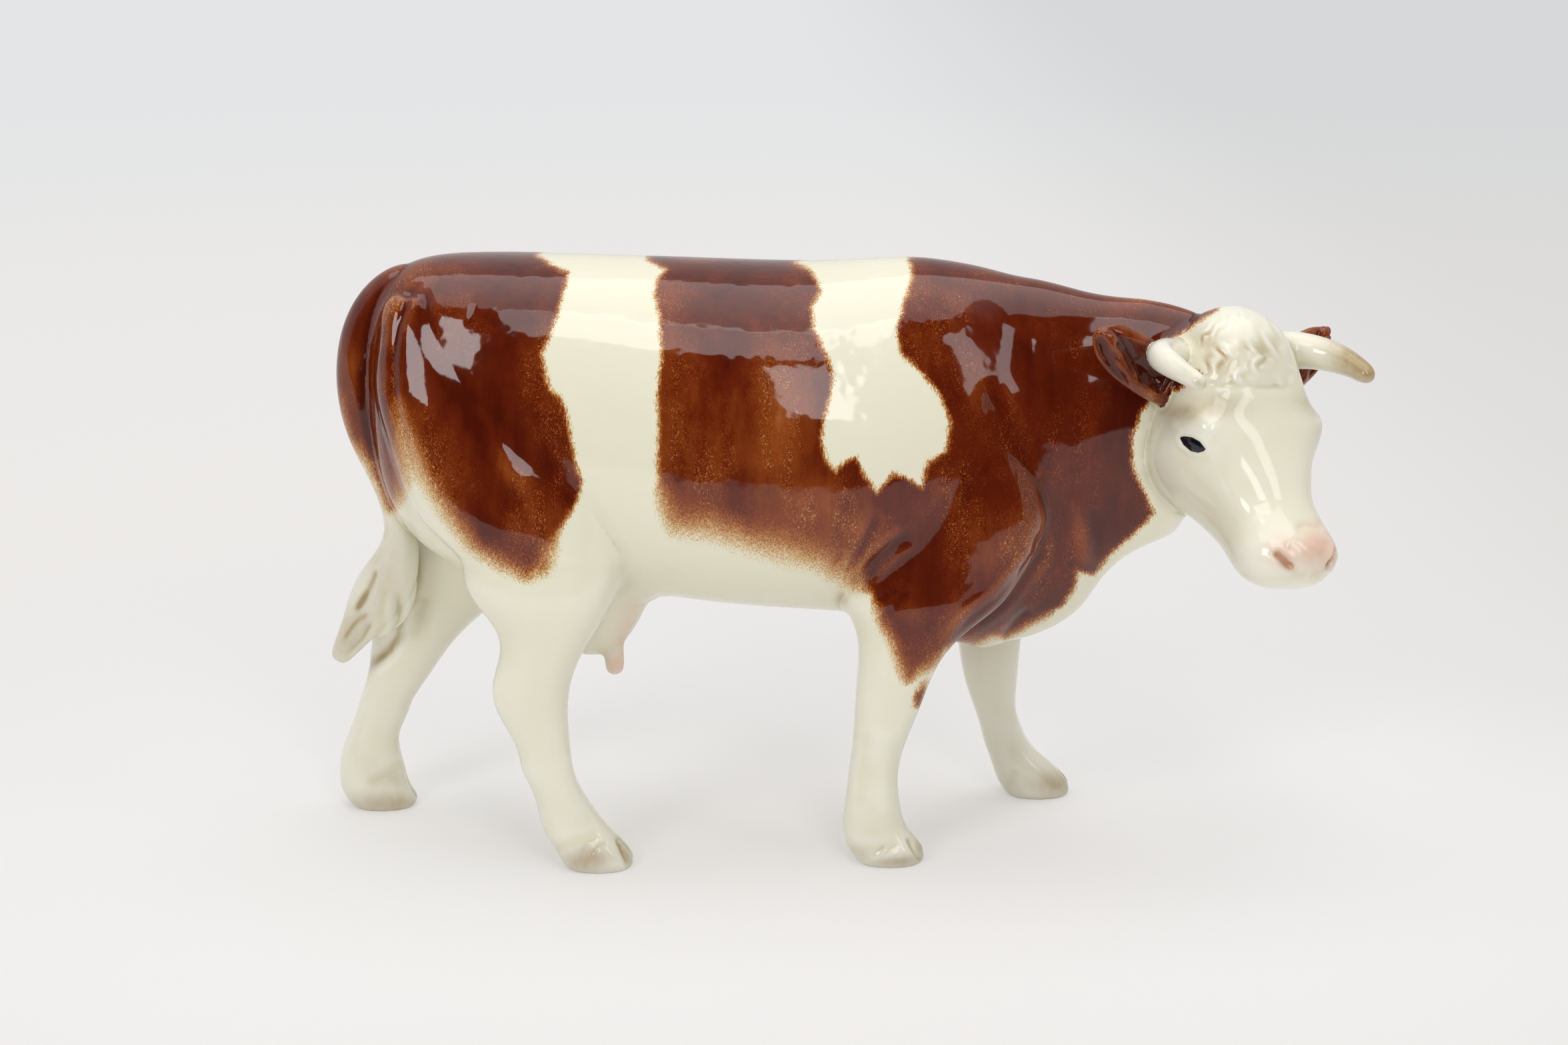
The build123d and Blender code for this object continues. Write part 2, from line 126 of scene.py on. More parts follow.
def toPhoto(points):
    # Where points fall on the photograph, for modelling and paint placed by its pixels
    right, upward, back = (np.array(axis) for axis in cameraAxes())
    wide, high = photoView["pixels"]
    viewPoint = np.array(fromRump(*photoView["aim"])) + back * photoView["distance"]
    away = points - viewPoint
    scale = photoView["lens"] / photoView["sensorWidth"] * wide / -(away @ back)
    return np.stack([wide / 2 + scale * (away @ right), high / 2 - scale * (away @ upward)], 1)


def headLeft():
    # The way to the head's left, square to the plane between its halves
    yaw, pitch, roll = (math.radians(headPlan[turn]) for turn in ("yaw", "pitch", "roll"))
    ahead = np.array((math.cos(yaw), -math.sin(yaw), 0))
    left = np.array((math.sin(yaw), math.cos(yaw), 0))
    faceLine = ahead * math.cos(pitch) - np.array((0, 0, 1)) * math.sin(pitch)
    return left * math.cos(roll) + faceLine * math.sin(roll)


def leftOfHead(points):
    return (points - np.array(fromRump(*headPlan["poll"]))) @ headLeft()


def mirrorHead(points):
    return points - 2 * leftOfHead(points)[:, None] * headLeft()


# The neck's middle leaves the body's middle as the head turns: along from the rump, out to the left
neckBend = [(130, 0), (143, -0.5), (152, -1.2), (159, -2.8), (167, -5), (174, -8), (180, -12)]


def middleOut(points):
    along, out = zip(*neckBend)
    return midLine + np.interp((points[:, 0] - rumpEnd) / mm, along, out) * mm


def mirrorBody(points):
    other = points.copy()
    other[:, 1] = 2 * middleOut(points) - points[:, 1]
    return other


# Meshes as numpy arrays
def readValues(items, field, width, kind=float):
    values = np.empty(len(items) * width, kind)
    items.foreach_get(field, values)
    return values.reshape(-1, width)


def setPoints(mesh, points):
    mesh.vertices.foreach_set("co", points.ravel())
    mesh.update()
    return readValues(mesh.vertices, "normal", 3)


def neighbourMean(values, edges):
    one, other = edges[:, 0], edges[:, 1]
    count = np.bincount(edges.ravel(), minlength=len(values))
    columns = [np.bincount(one, column[other], len(values)) + np.bincount(other, column[one], len(values))
               for column in values.T]
    return np.stack(columns, 1) / np.maximum(count, 1)[:, None]


def smoothStep(low, high, value):
    share = np.clip((value - low) / (high - low), 0, 1)
    return share * share * (3 - 2 * share)


def toLine(spots, line, closed=False):
    # Distance to a line of points and how far along it the nearest place lies, from 0 to 1
    line = np.array(line, float)
    ends = np.roll(line, -1, 0) if closed else line[1:]
    starts = line if closed else line[:-1]
    lengths = np.linalg.norm(ends - starts, axis=1)
    best = np.full(len(spots), np.inf)
    along = np.zeros(len(spots))
    passed = 0
    for start, end, length in zip(starts, ends, lengths):
        step = (end - start) / length
        away = spots - start
        on = np.clip(away @ step, 0, length)
        gap = np.linalg.norm(away - on[:, None] * step, axis=1)
        nearer = gap < best
        best[nearer] = gap[nearer]
        along[nearer] = (passed + on[nearer]) / lengths.sum()
        passed += length
    return best, along


def insideBy(spots, outline):
    # How far spots lie inside an outline, negative outside it, in the outline's own unit
    gap, _ = toLine(spots, outline, closed=True)
    inside = np.zeros(len(spots), bool)
    corners = np.array(outline, float)
    for (x0, y0), (x1, y1) in zip(corners, np.roll(corners, -1, 0)):
        if y0 != y1:
            crosses = (spots[:, 1] > min(y0, y1)) & (spots[:, 1] <= max(y0, y1))
            inside ^= crosses & (spots[:, 0] < x0 + (spots[:, 1] - y0) * (x1 - x0) / (y1 - y0))
    return np.where(inside, gap, -gap)


# The porcelain skin: the frame's solids fused as slip and glaze fuse them
skinPlan = {
    "voxel": 0.42 * mm,
    "quickVoxel": 0.8 * mm,
    "weld": 0.0005 * mm,
    "rounds": 14,
    "shrink": 0.5,
    "grow": 0.52,  # a little more than it shrinks, which holds the volume
    "lastRounds": 6,
    "melt": {"ear": 0.35, "horn": 0.8, "leg": 0.9, "tail": 0.35},  # how far glaze melts each form, 1 elsewhere
    "filled": {"ear": 0.0, "horn": 0.7, "leg": 0.9, "tail": 0.45},  # how far it fills their hollows, likewise
    "hoofMelt": 0.3,
    "hoofHeight": 9 * mm,
    "hoofFade": (1.2, 0.8),
    "fillReach": 2.6 * mm,
    "udderFill": 5.5 * mm,  # the udder flows into the belly and the thigh in front of it
    "udderReach": (30 * mm, 24 * mm, 26 * mm),
    "udderFade": 0.7,
    "reliefRounds": 2,  # of softening once the relief is cut
    "reliefMelt": 0.6,
}
# Where one form flows into the next: the place from the rump end, the middle line and the soles, its reach
# and how far the blend goes, in millimetres
blendSpots = [
    {"place": (143, -1, 125), "reach": (26, 18, 16), "blend": 4.5},  # the neck into the withers
    {"place": (57, -20, 61), "reach": (12, 13, 13), "blend": 2.6},  # each thigh into the belly
    {"place": (57, 20, 61), "reach": (12, 13, 13), "blend": 2.6},
    {"place": (56, -6, 49), "reach": (10, 16, 8), "blend": 1.7},  # the udder's front
]
blending = {
    "weight": 0.7,
    "pace": 3,  # rounds of it, times the square of the blend in voxels
    "fade": 0.45,  # share of the reach at which it is full
}
# The belly's vent hole stays open, closed off by a cork from the hollow above it
vent = {
    "along": 78 * mm,
    "corkRadius": 3.4 * mm,
    "corkDepth": 2.4 * mm,
    "corkRise": 0.2,  # share of its depth by which its middle lies above the wall's inner face
    "corkSides": 24,
}


def soften(points, edges, rounds, weight):
    for _ in range(rounds):
        points = points + weight * skinPlan["shrink"] * (neighbourMean(points, edges) - points)
        points = points - weight * skinPlan["grow"] * (neighbourMean(points, edges) - points)
    return points


def roundsFor(reach, voxel, pace=2):
    # Rounds of averaging after which a form has spread about as far as reach
    return round(pace * (reach / voxel) ** 2)


def localEdges(count, moved, edges):
    # The edges between moved points, numbered among those points alone
    place = np.full(count, -1)
    place[moved] = np.arange(len(moved))
    inner = place[edges]
    return inner[(inner >= 0).all(1)]


def addCork(shell):
    tree = BVHTree.FromBMesh(shell)
    beside = fromRump(vent["along"], 0, (torsoLow.z + torsoHigh.z) / 2) + Vector((0, vent["corkRadius"], 0))
    floorPlace = tree.ray_cast(beside, Vector((0, 0, -1)))[0]
    rise = vent["corkRise"] * vent["corkDepth"]
    middle = Vector((beside.x, beside.y - vent["corkRadius"], floorPlace.z + rise))
    bmesh.ops.create_cone(shell, cap_ends=True, segments=vent["corkSides"], radius1=vent["corkRadius"],
                          radius2=vent["corkRadius"], depth=vent["corkDepth"],
                          matrix=Matrix.Translation(middle))


def fuse(nodes, voxel):
    whole = bmesh.new()
    for node in nodes:
        whole.from_mesh(frame["nodes"][node].data)
    bmesh.ops.remove_doubles(whole, verts=whole.verts, dist=skinPlan["weld"])
    addCork(whole)
    joined = bpy.data.meshes.new("joined")
    whole.to_mesh(joined)
    whole.free()
    thing = newObject("joined", joined)
    remesh = thing.modifiers.new("fuse", "REMESH")
    remesh.mode = "VOXEL"
    remesh.voxel_size = voxel
    skin = bpy.data.meshes.new_from_object(thing.evaluated_get(bpy.context.evaluated_depsgraph_get()))
    bpy.data.objects.remove(thing)
    return skin


def nearestNode(points, nodes):
    # For each point, the node whose surface is nearest. The torso is the one that all the others touch
    owner = np.full(len(points), nodes.index("torso"))
    best = np.full(len(points), np.inf)
    margin = 1.0 * mm

    def within(node):
        low, high = (np.array(corner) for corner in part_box(node))
        return ((points > low - margin) & (points < high + margin)).all(1)

    near = np.any([within(node) for node in nodes if node != "torso"], 0)
    for index, node in enumerate(nodes):
        mesh = frame["nodes"][node].data
        tree = BVHTree.FromPolygons([v.co for v in mesh.vertices], [p.vertices for p in mesh.polygons])
        for spot in np.flatnonzero(near & within(node)):
            gap = tree.find_nearest(Vector(points[spot]))[3]
            if gap < best[spot]:
                best[spot], owner[spot] = gap, index
    return owner


def meltWeights(points, owner, nodes, kind):
    weight = np.ones(len(points))
    for index, node in enumerate(nodes):
        weight[owner == index] = skinPlan[kind].get(node.split("_")[0], 1)
    hoof = smoothStep(*skinPlan["hoofFade"], points[:, 2] / skinPlan["hoofHeight"])
    return weight * (1 - hoof) + skinPlan["hoofMelt"] * hoof


def fillHollows(points, normals, edges, rounds, weight):
    # Glaze and slip gather in the hollows and leave the ridges. Only points with a weight move
    moved = np.flatnonzero(weight > 0)
    inner = localEdges(len(points), moved, edges)
    rounded = points[moved]
    for _ in range(rounds):
        rounded = neighbourMean(rounded, inner)
    depth = ((rounded - points[moved]) * normals[moved]).sum(1)
    filled = points.copy()
    filled[moved] += normals[moved] * (np.maximum(depth, 0) * weight[moved])[:, None]
    return filled


def blendForms(points, edges, voxel):
    for spot in blendSpots:
        middle = np.array(fromRump(*(np.array(spot["place"]) * mm)))
        gap = np.linalg.norm((points - middle) / mm / spot["reach"], axis=1)
        moved = np.flatnonzero(gap < 1)
        inner = localEdges(len(points), moved, edges)
        weight = blending["weight"] * smoothStep(1, blending["fade"], gap[moved])[:, None]
        blended = points[moved]
        for _ in range(roundsFor(spot["blend"] * mm, voxel, blending["pace"])):
            blended = blended + weight * (neighbourMean(blended, inner) - blended)
        points[moved] = blended
    return points


# The three ways in which the photograph's places are laid on the figure: as seen, mirrored to the
# body's other side, and mirrored to the head's other half, each with how far the surface faces the camera
def makeViews(points, normals):
    towards = np.array(cameraAxes()[2])
    left = headLeft()
    mirrored = normals - 2 * (normals @ left)[:, None] * left
    return {
        "seen": (toPhoto(points), normals @ towards),
        "body": (toPhoto(mirrorBody(points)), (normals * (1, -1, 1)) @ towards),
        "head": (toPhoto(mirrorHead(points)), mirrored @ towards),
    }


def halves(points):
    # How far points lie to the left of the body's middle and of the head's
    return {"body": points[:, 1] - middleOut(points), "head": leftOfHead(points)}


def eachView(views, half, side):
    # The views in which something is laid on the figure, with the points that each may reach
    if side == "none":
        yield *views["seen"], np.ones(len(half["body"]), bool)
    else:
        yield *views["seen"], half[side] < 0
        yield *views[side], half[side] > 0


def chosenKinds(owner, nodes, kinds):
    return np.isin(owner, [i for i, node in enumerate(nodes) if node.split("_")[0] in kinds.split()])


def stroke(line, depth, width, lip=0, side=None, on=None):
    return {"line": np.array(line), "depth": depth, "width": width, "lip": lip, "side": side, "on": on}


# Relief that the mould and the modeller's tool gave, as strokes on the photograph. Depth and width are
# millimetres, a negative depth is a ridge, and lip is the height of a ridge along both sides. The other
# half of the body or of the head gets the same stroke, unless side is none, and on names the forms it keeps to
reliefStrokes = [
    stroke([(1478, 560), (1489, 589), (1505, 635), (1527, 685), (1555, 750), (1566, 800)], 0.45, 3.0),
    stroke([(1500, 560), (1522, 615), (1545, 680), (1572, 745)], -0.3, 2.2),
    stroke([(1566, 770), (1556, 833), (1526, 869), (1499, 900), (1457, 931), (1437, 954),
            (1418, 980)], 0.55, 1.3, lip=0.2),
    stroke([(1604, 735), (1618, 790), (1627, 830), (1622, 856)], -0.35, 2.0),
    stroke([(1636, 760), (1648, 810), (1642, 845)], 0.25, 1.8),
    stroke([(1503, 962), (1524, 934), (1548, 912)], 0.45, 1.2),
    stroke([(1376, 795), (1344, 816), (1316, 841), (1294, 870), (1282, 900)], 0.5, 1.3, lip=0.15),
    stroke([(1320, 768), (1294, 822), (1277, 847), (1257, 872)], 0.35, 1.1),
    stroke([(1267, 828), (1240, 864)], 0.25, 0.9),
    stroke([(1350, 882), (1332, 895), (1312, 904)], 0.15, 1.1),
    stroke([(1368, 882), (1333, 920), (1312, 944)], 0.15, 1.2),
    stroke([(690, 610), (711, 646), (732, 704), (756, 749), (790, 775)], 0.4, 3.2),
    stroke([(700, 590), (735, 640), (760, 700), (800, 745)], -0.3, 2.4),
    stroke([(640, 462), (677, 458), (712, 470)], -0.3, 4.0),
    stroke([(640, 410), (612, 445), (596, 490), (588, 540), (590, 590), (600, 640), (616, 700),
            (624, 745)], 0.5, 1.1),
    stroke([(600, 740), (612, 790), (620, 840), (624, 890)], 0.4, 1.5, side="none", on="leg torso"),
    stroke([(596, 455), (565, 503), (545, 560), (547, 628), (565, 700), (583, 750)], 0.3, 1.1, on="tail"),
    stroke([(597, 880), (600, 930), (596, 954), (584, 978), (566, 992),
            (548, 1008)], 0.6, 1.0, lip=0.15, side="none", on="tail leg"),
    # the switch: its long ridge, the recess beside it, and the curl above the tip
    stroke([(590, 795), (577, 835), (568, 878), (563, 905), (550, 926)], -0.5, 1.2, side="none", on="tail"),
    stroke([(566, 850), (553, 882), (540, 905), (530, 922)], 0.75, 0.9, lip=0.2, side="none", on="tail"),
    stroke([(556, 918), (530, 938), (512, 964)], 0.45, 0.7, side="none", on="tail"),
    stroke([(548, 930), (532, 952), (517, 976)], -0.35, 0.8, side="none", on="tail"),
    stroke([(560, 930), (544, 962), (516, 988)], 0.45, 0.7, side="none", on="tail"),
    stroke([(592, 890), (582, 940), (562, 970), (532, 995), (505, 1012)], -0.4, 1.4, side="none", on="tail"),
    stroke([(642, 890), (632, 930), (621, 965)], 0.25, 2.0, side="none", on="leg"),
    stroke([(862, 740), (871, 764), (905, 815), (932, 858)], -0.35, 2.6),
    # tendons and pasterns
    stroke([(1298, 1090), (1295, 1135), (1292, 1183), (1284, 1220)], 0.3, 1.8, on="leg"),
    stroke([(1322, 1080), (1324, 1150), (1322, 1240)], -0.25, 2.0, on="leg"),
    stroke([(850, 1120), (862, 1180), (880, 1235)], -0.25, 2.0, on="leg"),
    stroke([(1262, 1268), (1290, 1277), (1330, 1272), (1352, 1262)], 0.3, 1.3, on="leg"),
    stroke([(812, 1282), (845, 1270), (869, 1260), (905, 1252)], 0.3, 1.3, on="leg"),
    stroke([(1506, 1200), (1513, 1178), (1524, 1150)], 0.3, 1.3, side="none", on="leg"),
    stroke([(610, 1140), (590, 1155), (560, 1172), (545, 1172)], 0.3, 1.3, side="none", on="leg"),
    stroke([(924, 1250), (935, 1277), (947, 1304)], 0.8, 0.6, on="leg"),
    stroke([(1360, 1252), (1374, 1280), (1386, 1300)], 0.8, 0.6, on="leg"),
    stroke([(868, 1280), (884, 1266), (900, 1258)], 0.25, 0.5, on="leg"),
    stroke([(886, 1283), (899, 1270), (912, 1264)], 0.25, 0.5, on="leg"),
    stroke([(1306, 1288), (1318, 1276), (1330, 1268)], 0.25, 0.5, on="leg"),
    stroke([(1326, 1286), (1338, 1275), (1350, 1268)], 0.25, 0.5, on="leg"),
]
headStrokes = [
    stroke([(1795, 577), (1840, 579), (1890, 580), (1950, 580)], 0.22, 0.9, side="none"),
    stroke([(1712, 690), (1722, 722), (1746, 751), (1772, 772), (1795, 788)], 0.3, 2.0),
    stroke([(1878, 620), (1900, 660), (1924, 705), (1938, 750), (1946, 785)], -0.2, 2.4, side="none"),
    stroke([(1940, 790), (1962, 786), (1988, 789)], 0.3, 1.0, side="none"),
    stroke([(1825, 712), (1854, 748), (1878, 772), (1888, 800)], -0.2, 2.4),
    stroke([(1815, 680), (1865, 730), (1902, 780)], 0.15, 3.2),
    stroke([(1748, 644), (1772, 630), (1800, 634), (1828, 655)], -0.45, 2.2),
    stroke([(1764, 655), (1776, 646), (1790, 645), (1806, 655)], -0.2, 0.7),
    stroke([(1762, 672), (1780, 686), (1800, 691), (1818, 684)], 0.2, 1.6),
    stroke([(1910, 826), (1922, 838), (1932, 849), (1944, 854)], 1.7, 0.8, lip=0.2),
    stroke([(1932, 810), (1948, 824), (1962, 842)], 0.25, 1.3),
    stroke([(1840, 856), (1885, 872), (1930, 870), (1975, 858)], 0.22, 0.9),
    stroke([(1754, 538), (1772, 551), (1792, 568)], 0.3, 1.1, side="none", on="horn"),
    # the ribs and the hollows of the ears
    stroke([(1640, 488), (1662, 510), (1678, 532), (1690, 560), (1702, 586)], -0.9, 0.7, on="ear"),
    stroke([(1650, 490), (1680, 515), (1698, 545), (1710, 584)], -0.7, 0.6, on="ear"),
    stroke([(1646, 500), (1655, 530), (1672, 555), (1694, 578)], 0.8, 1.0, on="ear"),
    stroke([(1668, 500), (1690, 525), (1706, 556), (1716, 580)], 0.6, 0.8, on="ear"),
    stroke([(1700, 535), (1722, 560), (1745, 572)], 0.4, 1.2, on="ear"),
]

# How a stroke falls off, in its widths, along its line and as the surface turns away
strokeShape = {
    "reach": 4,
    "lipPlace": 2,
    "lipWidth": 0.8,
    "ends": 0.2,
    "facing": (0.02, 0.3),
    "halfFade": 0.8 * mm,
}

# Locks of hair that flow between two lines: their number, how deep they are modelled in millimetres, how
# far they sway, in locks and in waves along the way, and how they break up into tufts
forelock = {
    "outline": [(1808, 478), (1830, 462), (1870, 462), (1905, 472), (1935, 488), (1952, 515), (1950, 560),
                (1943, 582), (1890, 583), (1840, 582), (1803, 580), (1800, 545), (1792, 515)],
    "lines": ([(1838, 440), (1800, 500), (1790, 590)], [(1895, 440), (1955, 500), (1962, 590)]),
    "locks": 7,
    "depth": 0.11,
    "sway": 0.34,
    "waves": (2.2, 1.3),  # along and across the locks
    "ripples": (2.3, -2.1),  # the same for the finer sway, the first in waves
    "tufts": (2.7, 2.6),
    "edge": 1.2,
    "facing": 0.3,
}


def forelockShift(views, owner, nodes, points):
    # How far the locks move each point, and how far it lies between them, from -1 to 1
    shift, between = np.zeros(len(points)), np.zeros(len(points))
    spots, facing = views["seen"]
    near = np.flatnonzero(chosenKinds(owner, nodes, "head") & (facing > 0))
    near = near[insideBy(spots[near], forelock["outline"]) > 0]
    one, down = toLine(spots[near], forelock["lines"][0])
    other, _ = toLine(spots[near], forelock["lines"][1])
    share = one / (one + other)
    waves, slant = forelock["waves"]
    ripples, rippleSlant = forelock["ripples"]
    tufts, tuftSlant = forelock["tufts"]
    sway = np.sin(2 * math.pi * (waves * down + slant * share))
    sway += 0.5 * np.sin(2 * math.pi * (ripples * waves * down + rippleSlant * share))
    phase = share * forelock["locks"] + forelock["sway"] * sway
    inside = insideBy(spots[near], forelock["outline"]) / photoView["pixelsPerMm"]
    fade = smoothStep(0, forelock["edge"], inside) * smoothStep(0, forelock["facing"], facing[near])
    tuft = 0.5 + 0.5 * np.sin(2 * math.pi * (tufts * down + tuftSlant * share))
    wave = np.cos(2 * math.pi * phase) * fade * tuft
    shift[near] += forelock["depth"] * wave * mm
    between[near] -= wave
    return shift, between


def reliefShift(views, owner, nodes, points, strokes, usual):
    # How far each point moves along its normal
    shift = np.zeros(len(points))
    half = halves(points)
    ends, halfFade = strokeShape["ends"], strokeShape["halfFade"]
    for mark in strokes:
        side = mark["side"] or usual
        line, width = mark["line"], mark["width"]
        reach = strokeShape["reach"] * width * photoView["pixelsPerMm"]
        chosen = chosenKinds(owner, nodes, mark["on"]) if mark["on"] else np.ones(len(points), bool)
        for spots, facing, mine in eachView(views, half, side):
            near = chosen & mine & (facing > strokeShape["facing"][0])
            near &= (spots > line.min(0) - reach).all(1) & (spots < line.max(0) + reach).all(1)
            gap, along = toLine(spots[near], line)
            gap /= photoView["pixelsPerMm"] * width
            fade = smoothStep(0, ends, along) * smoothStep(1, 1 - ends, along)
            fade *= smoothStep(*strokeShape["facing"], facing[near])
            if side != "none":
                fade *= smoothStep(0, halfFade, np.abs(half[side][near]))
            lip = mark["lip"] * np.exp(-((gap - strokeShape["lipPlace"]) / strokeShape["lipWidth"]) ** 2)
            shift[near] += fade * (lip - mark["depth"] * np.exp(-gap ** 2)) * mm
    return shift


# The eye, as its outline on the photograph, with its ball, its lid and the groove between them as heights
# and widths in millimetres
eye = {
    "outline": [(1769, 656), (1776, 654.5), (1788, 656), (1800, 662.5), (1809, 674.5), (1805, 677.5),
                (1797, 679.5), (1786, 677), (1775, 667.5)],
    "middle": (1789, 667),
    "reach": 60,
    "ball": (0.3, 1.2),
    "lid": (0.12, 0.45),
    "lidPlace": 0.7,
    "groove": (0.12, 0.25),
    "paintEdge": 0.06,
}
farOutside = -9.0  # millimetres, for places that a paint doesn't reach


def eyeDistance(views, points):
    # Millimetres inside the outline of an eye
    distance = np.full(len(points), farOutside)
    for spots, facing, mine in eachView(views, halves(points), "head"):
        near = mine & (facing > 0) & (np.abs(spots - eye["middle"]) < eye["reach"]).all(1)
        distance[near] = insideBy(spots[near], eye["outline"]) / photoView["pixelsPerMm"]
    return distance


def eyeShift(distance):
    (ball, ballWidth), (lid, lidWidth), (groove, grooveWidth) = eye["ball"], eye["lid"], eye["groove"]
    height = ball * smoothStep(0, ballWidth, distance)
    height += lid * np.exp(-((distance + eye["lidPlace"]) / lidWidth) ** 2)
    return (height - groove * np.exp(-(distance / grooveWidth) ** 2)) * mm


# The painted coat, as outlines on the photograph. The side that it doesn't show is its mirror image
coatOutlines = {
    "rump": [
        (560, 300), (795, 300), (802, 381), (825, 398), (851, 410), (842, 446), (832, 481), (813, 532),
        (825, 584), (842, 598), (852, 635), (857, 670), (871, 722), (866, 749), (849, 777), (832, 808),
        (811, 849), (790, 859), (753, 841), (706, 811), (670, 764), (635, 706), (606, 645), (590, 592),
        (587, 520), (560, 400),
    ],
    "tail": [
        (420, 300), (700, 300), (645, 421), (604, 470), (593, 513), (591, 570), (598, 640), (601, 700),
        (595, 745), (587, 760), (576, 735), (560, 700), (545, 680), (524, 661), (505, 600), (480, 560),
        (420, 500),
    ],
    "front": [
        (960, 300), (973, 389), (1000, 405), (987, 420), (983, 443), (990, 474), (993, 525), (992, 553),
        (987, 598), (988, 635), (987, 687), (990, 732), (1000, 760), (1016, 780), (1050, 780), (1090, 790),
        (1124, 802), (1159, 815), (1193, 824), (1238, 834), (1260, 850), (1270, 846), (1282, 872), (1290, 860),
        (1297, 878), (1310, 893), (1322, 928), (1342, 968), (1352, 1000), (1360, 1022), (1378, 1008),
        (1395, 998), (1417, 975), (1429, 970), (1457, 968), (1489, 953), (1507, 956), (1524, 948), (1560, 928),
        (1592, 909), (1611, 880), (1616, 857), (1642, 861), (1663, 833), (1693, 807), (1708, 792), (1730, 770),
        (1719, 748), (1705, 719), (1696, 689), (1697, 657), (1708, 622), (1722, 604), (1728, 592), (1769, 582),
        (1800, 560), (1740, 530), (1719, 528), (1737, 516), (1769, 500), (1801, 480), (1823, 465), (1850, 430),
        (1850, 300),
    ],
    "band": [
        (1183, 300), (1190, 393), (1217, 408), (1231, 436), (1216, 460), (1219, 494), (1238, 532), (1248, 567),
        (1245, 594), (1235, 625), (1231, 656), (1238, 691), (1252, 708), (1262, 700), (1283, 687), (1297, 715),
        (1315, 739), (1341, 711), (1364, 720), (1383, 733), (1393, 694), (1405, 687), (1418, 679), (1423, 661),
        (1425, 635), (1422, 615), (1413, 595), (1395, 572), (1380, 556), (1352, 529), (1346, 494), (1358, 453),
        (1370, 412), (1364, 388), (1364, 300),
    ],
    "spot": [
        (1386, 1026), (1389, 1040), (1382, 1058), (1373, 1060), (1372, 1045),
    ],
}
# Where the brown is sprayed out instead of brushed: a line, its softness and its reach in millimetres
softEdges = [
    ([(1045, 785), (1107, 800), (1176, 822), (1240, 835)], 6.0, 15.0),
    ([(815, 850), (753, 835), (706, 806), (670, 764), (635, 700), (612, 640)], 4.0, 10.0),
    ([(505, 600), (545, 680), (587, 760), (600, 690)], 3.0, 6.0),
    ([(1322, 928), (1352, 1000), (1395, 998)], 2.6, 6.0),
    ([(1560, 928), (1489, 953), (1429, 970)], 1.5, 4.0),
]
brushSoftness = 1.0  # of the brushed edges
# Where the seen side's paint gives way to its mirror image: along the neck in millimetres, and across the
# back and the face in metres
coatBlend = {
    "neck": (155, 170),
    "back": 3 * mm,
    "face": 2 * mm,
}


def brownIn(spots):
    inside = {name: insideBy(spots, outline) for name, outline in coatOutlines.items()}
    front = np.minimum(inside["front"], -inside["band"])
    return np.max([inside["rump"], inside["tail"], front, inside["spot"]], 0) / photoView["pixelsPerMm"]


def coatDistance(points, views):
    # Millimetres inside the brown coat, and how soft its edge is there
    along = (points[:, 0] - rumpEnd) / mm
    half = halves(points)
    farNeck = smoothStep(*coatBlend["neck"], along)
    otherSide = smoothStep(-coatBlend["back"], coatBlend["back"], half["body"])
    otherHalf = smoothStep(-coatBlend["face"], coatBlend["face"], half["head"])
    other = otherSide * (1 - farNeck) + otherHalf * farNeck
    share = {"seen": 1 - other, "body": other * (1 - farNeck), "head": other * farNeck}
    distance, softness = np.zeros(len(points)), np.full(len(points), brushSoftness)
    for view, part in share.items():
        used = part > 0
        spots = views[view][0][used]
        distance[used] += part[used] * brownIn(spots)
        for line, soft, reach in softEdges:
            gap, _ = toLine(spots, line)
            here = smoothStep(reach, 0.3 * reach, gap / photoView["pixelsPerMm"])
            softness[used] += (soft - brushSoftness) * here * part[used]
    return distance, softness


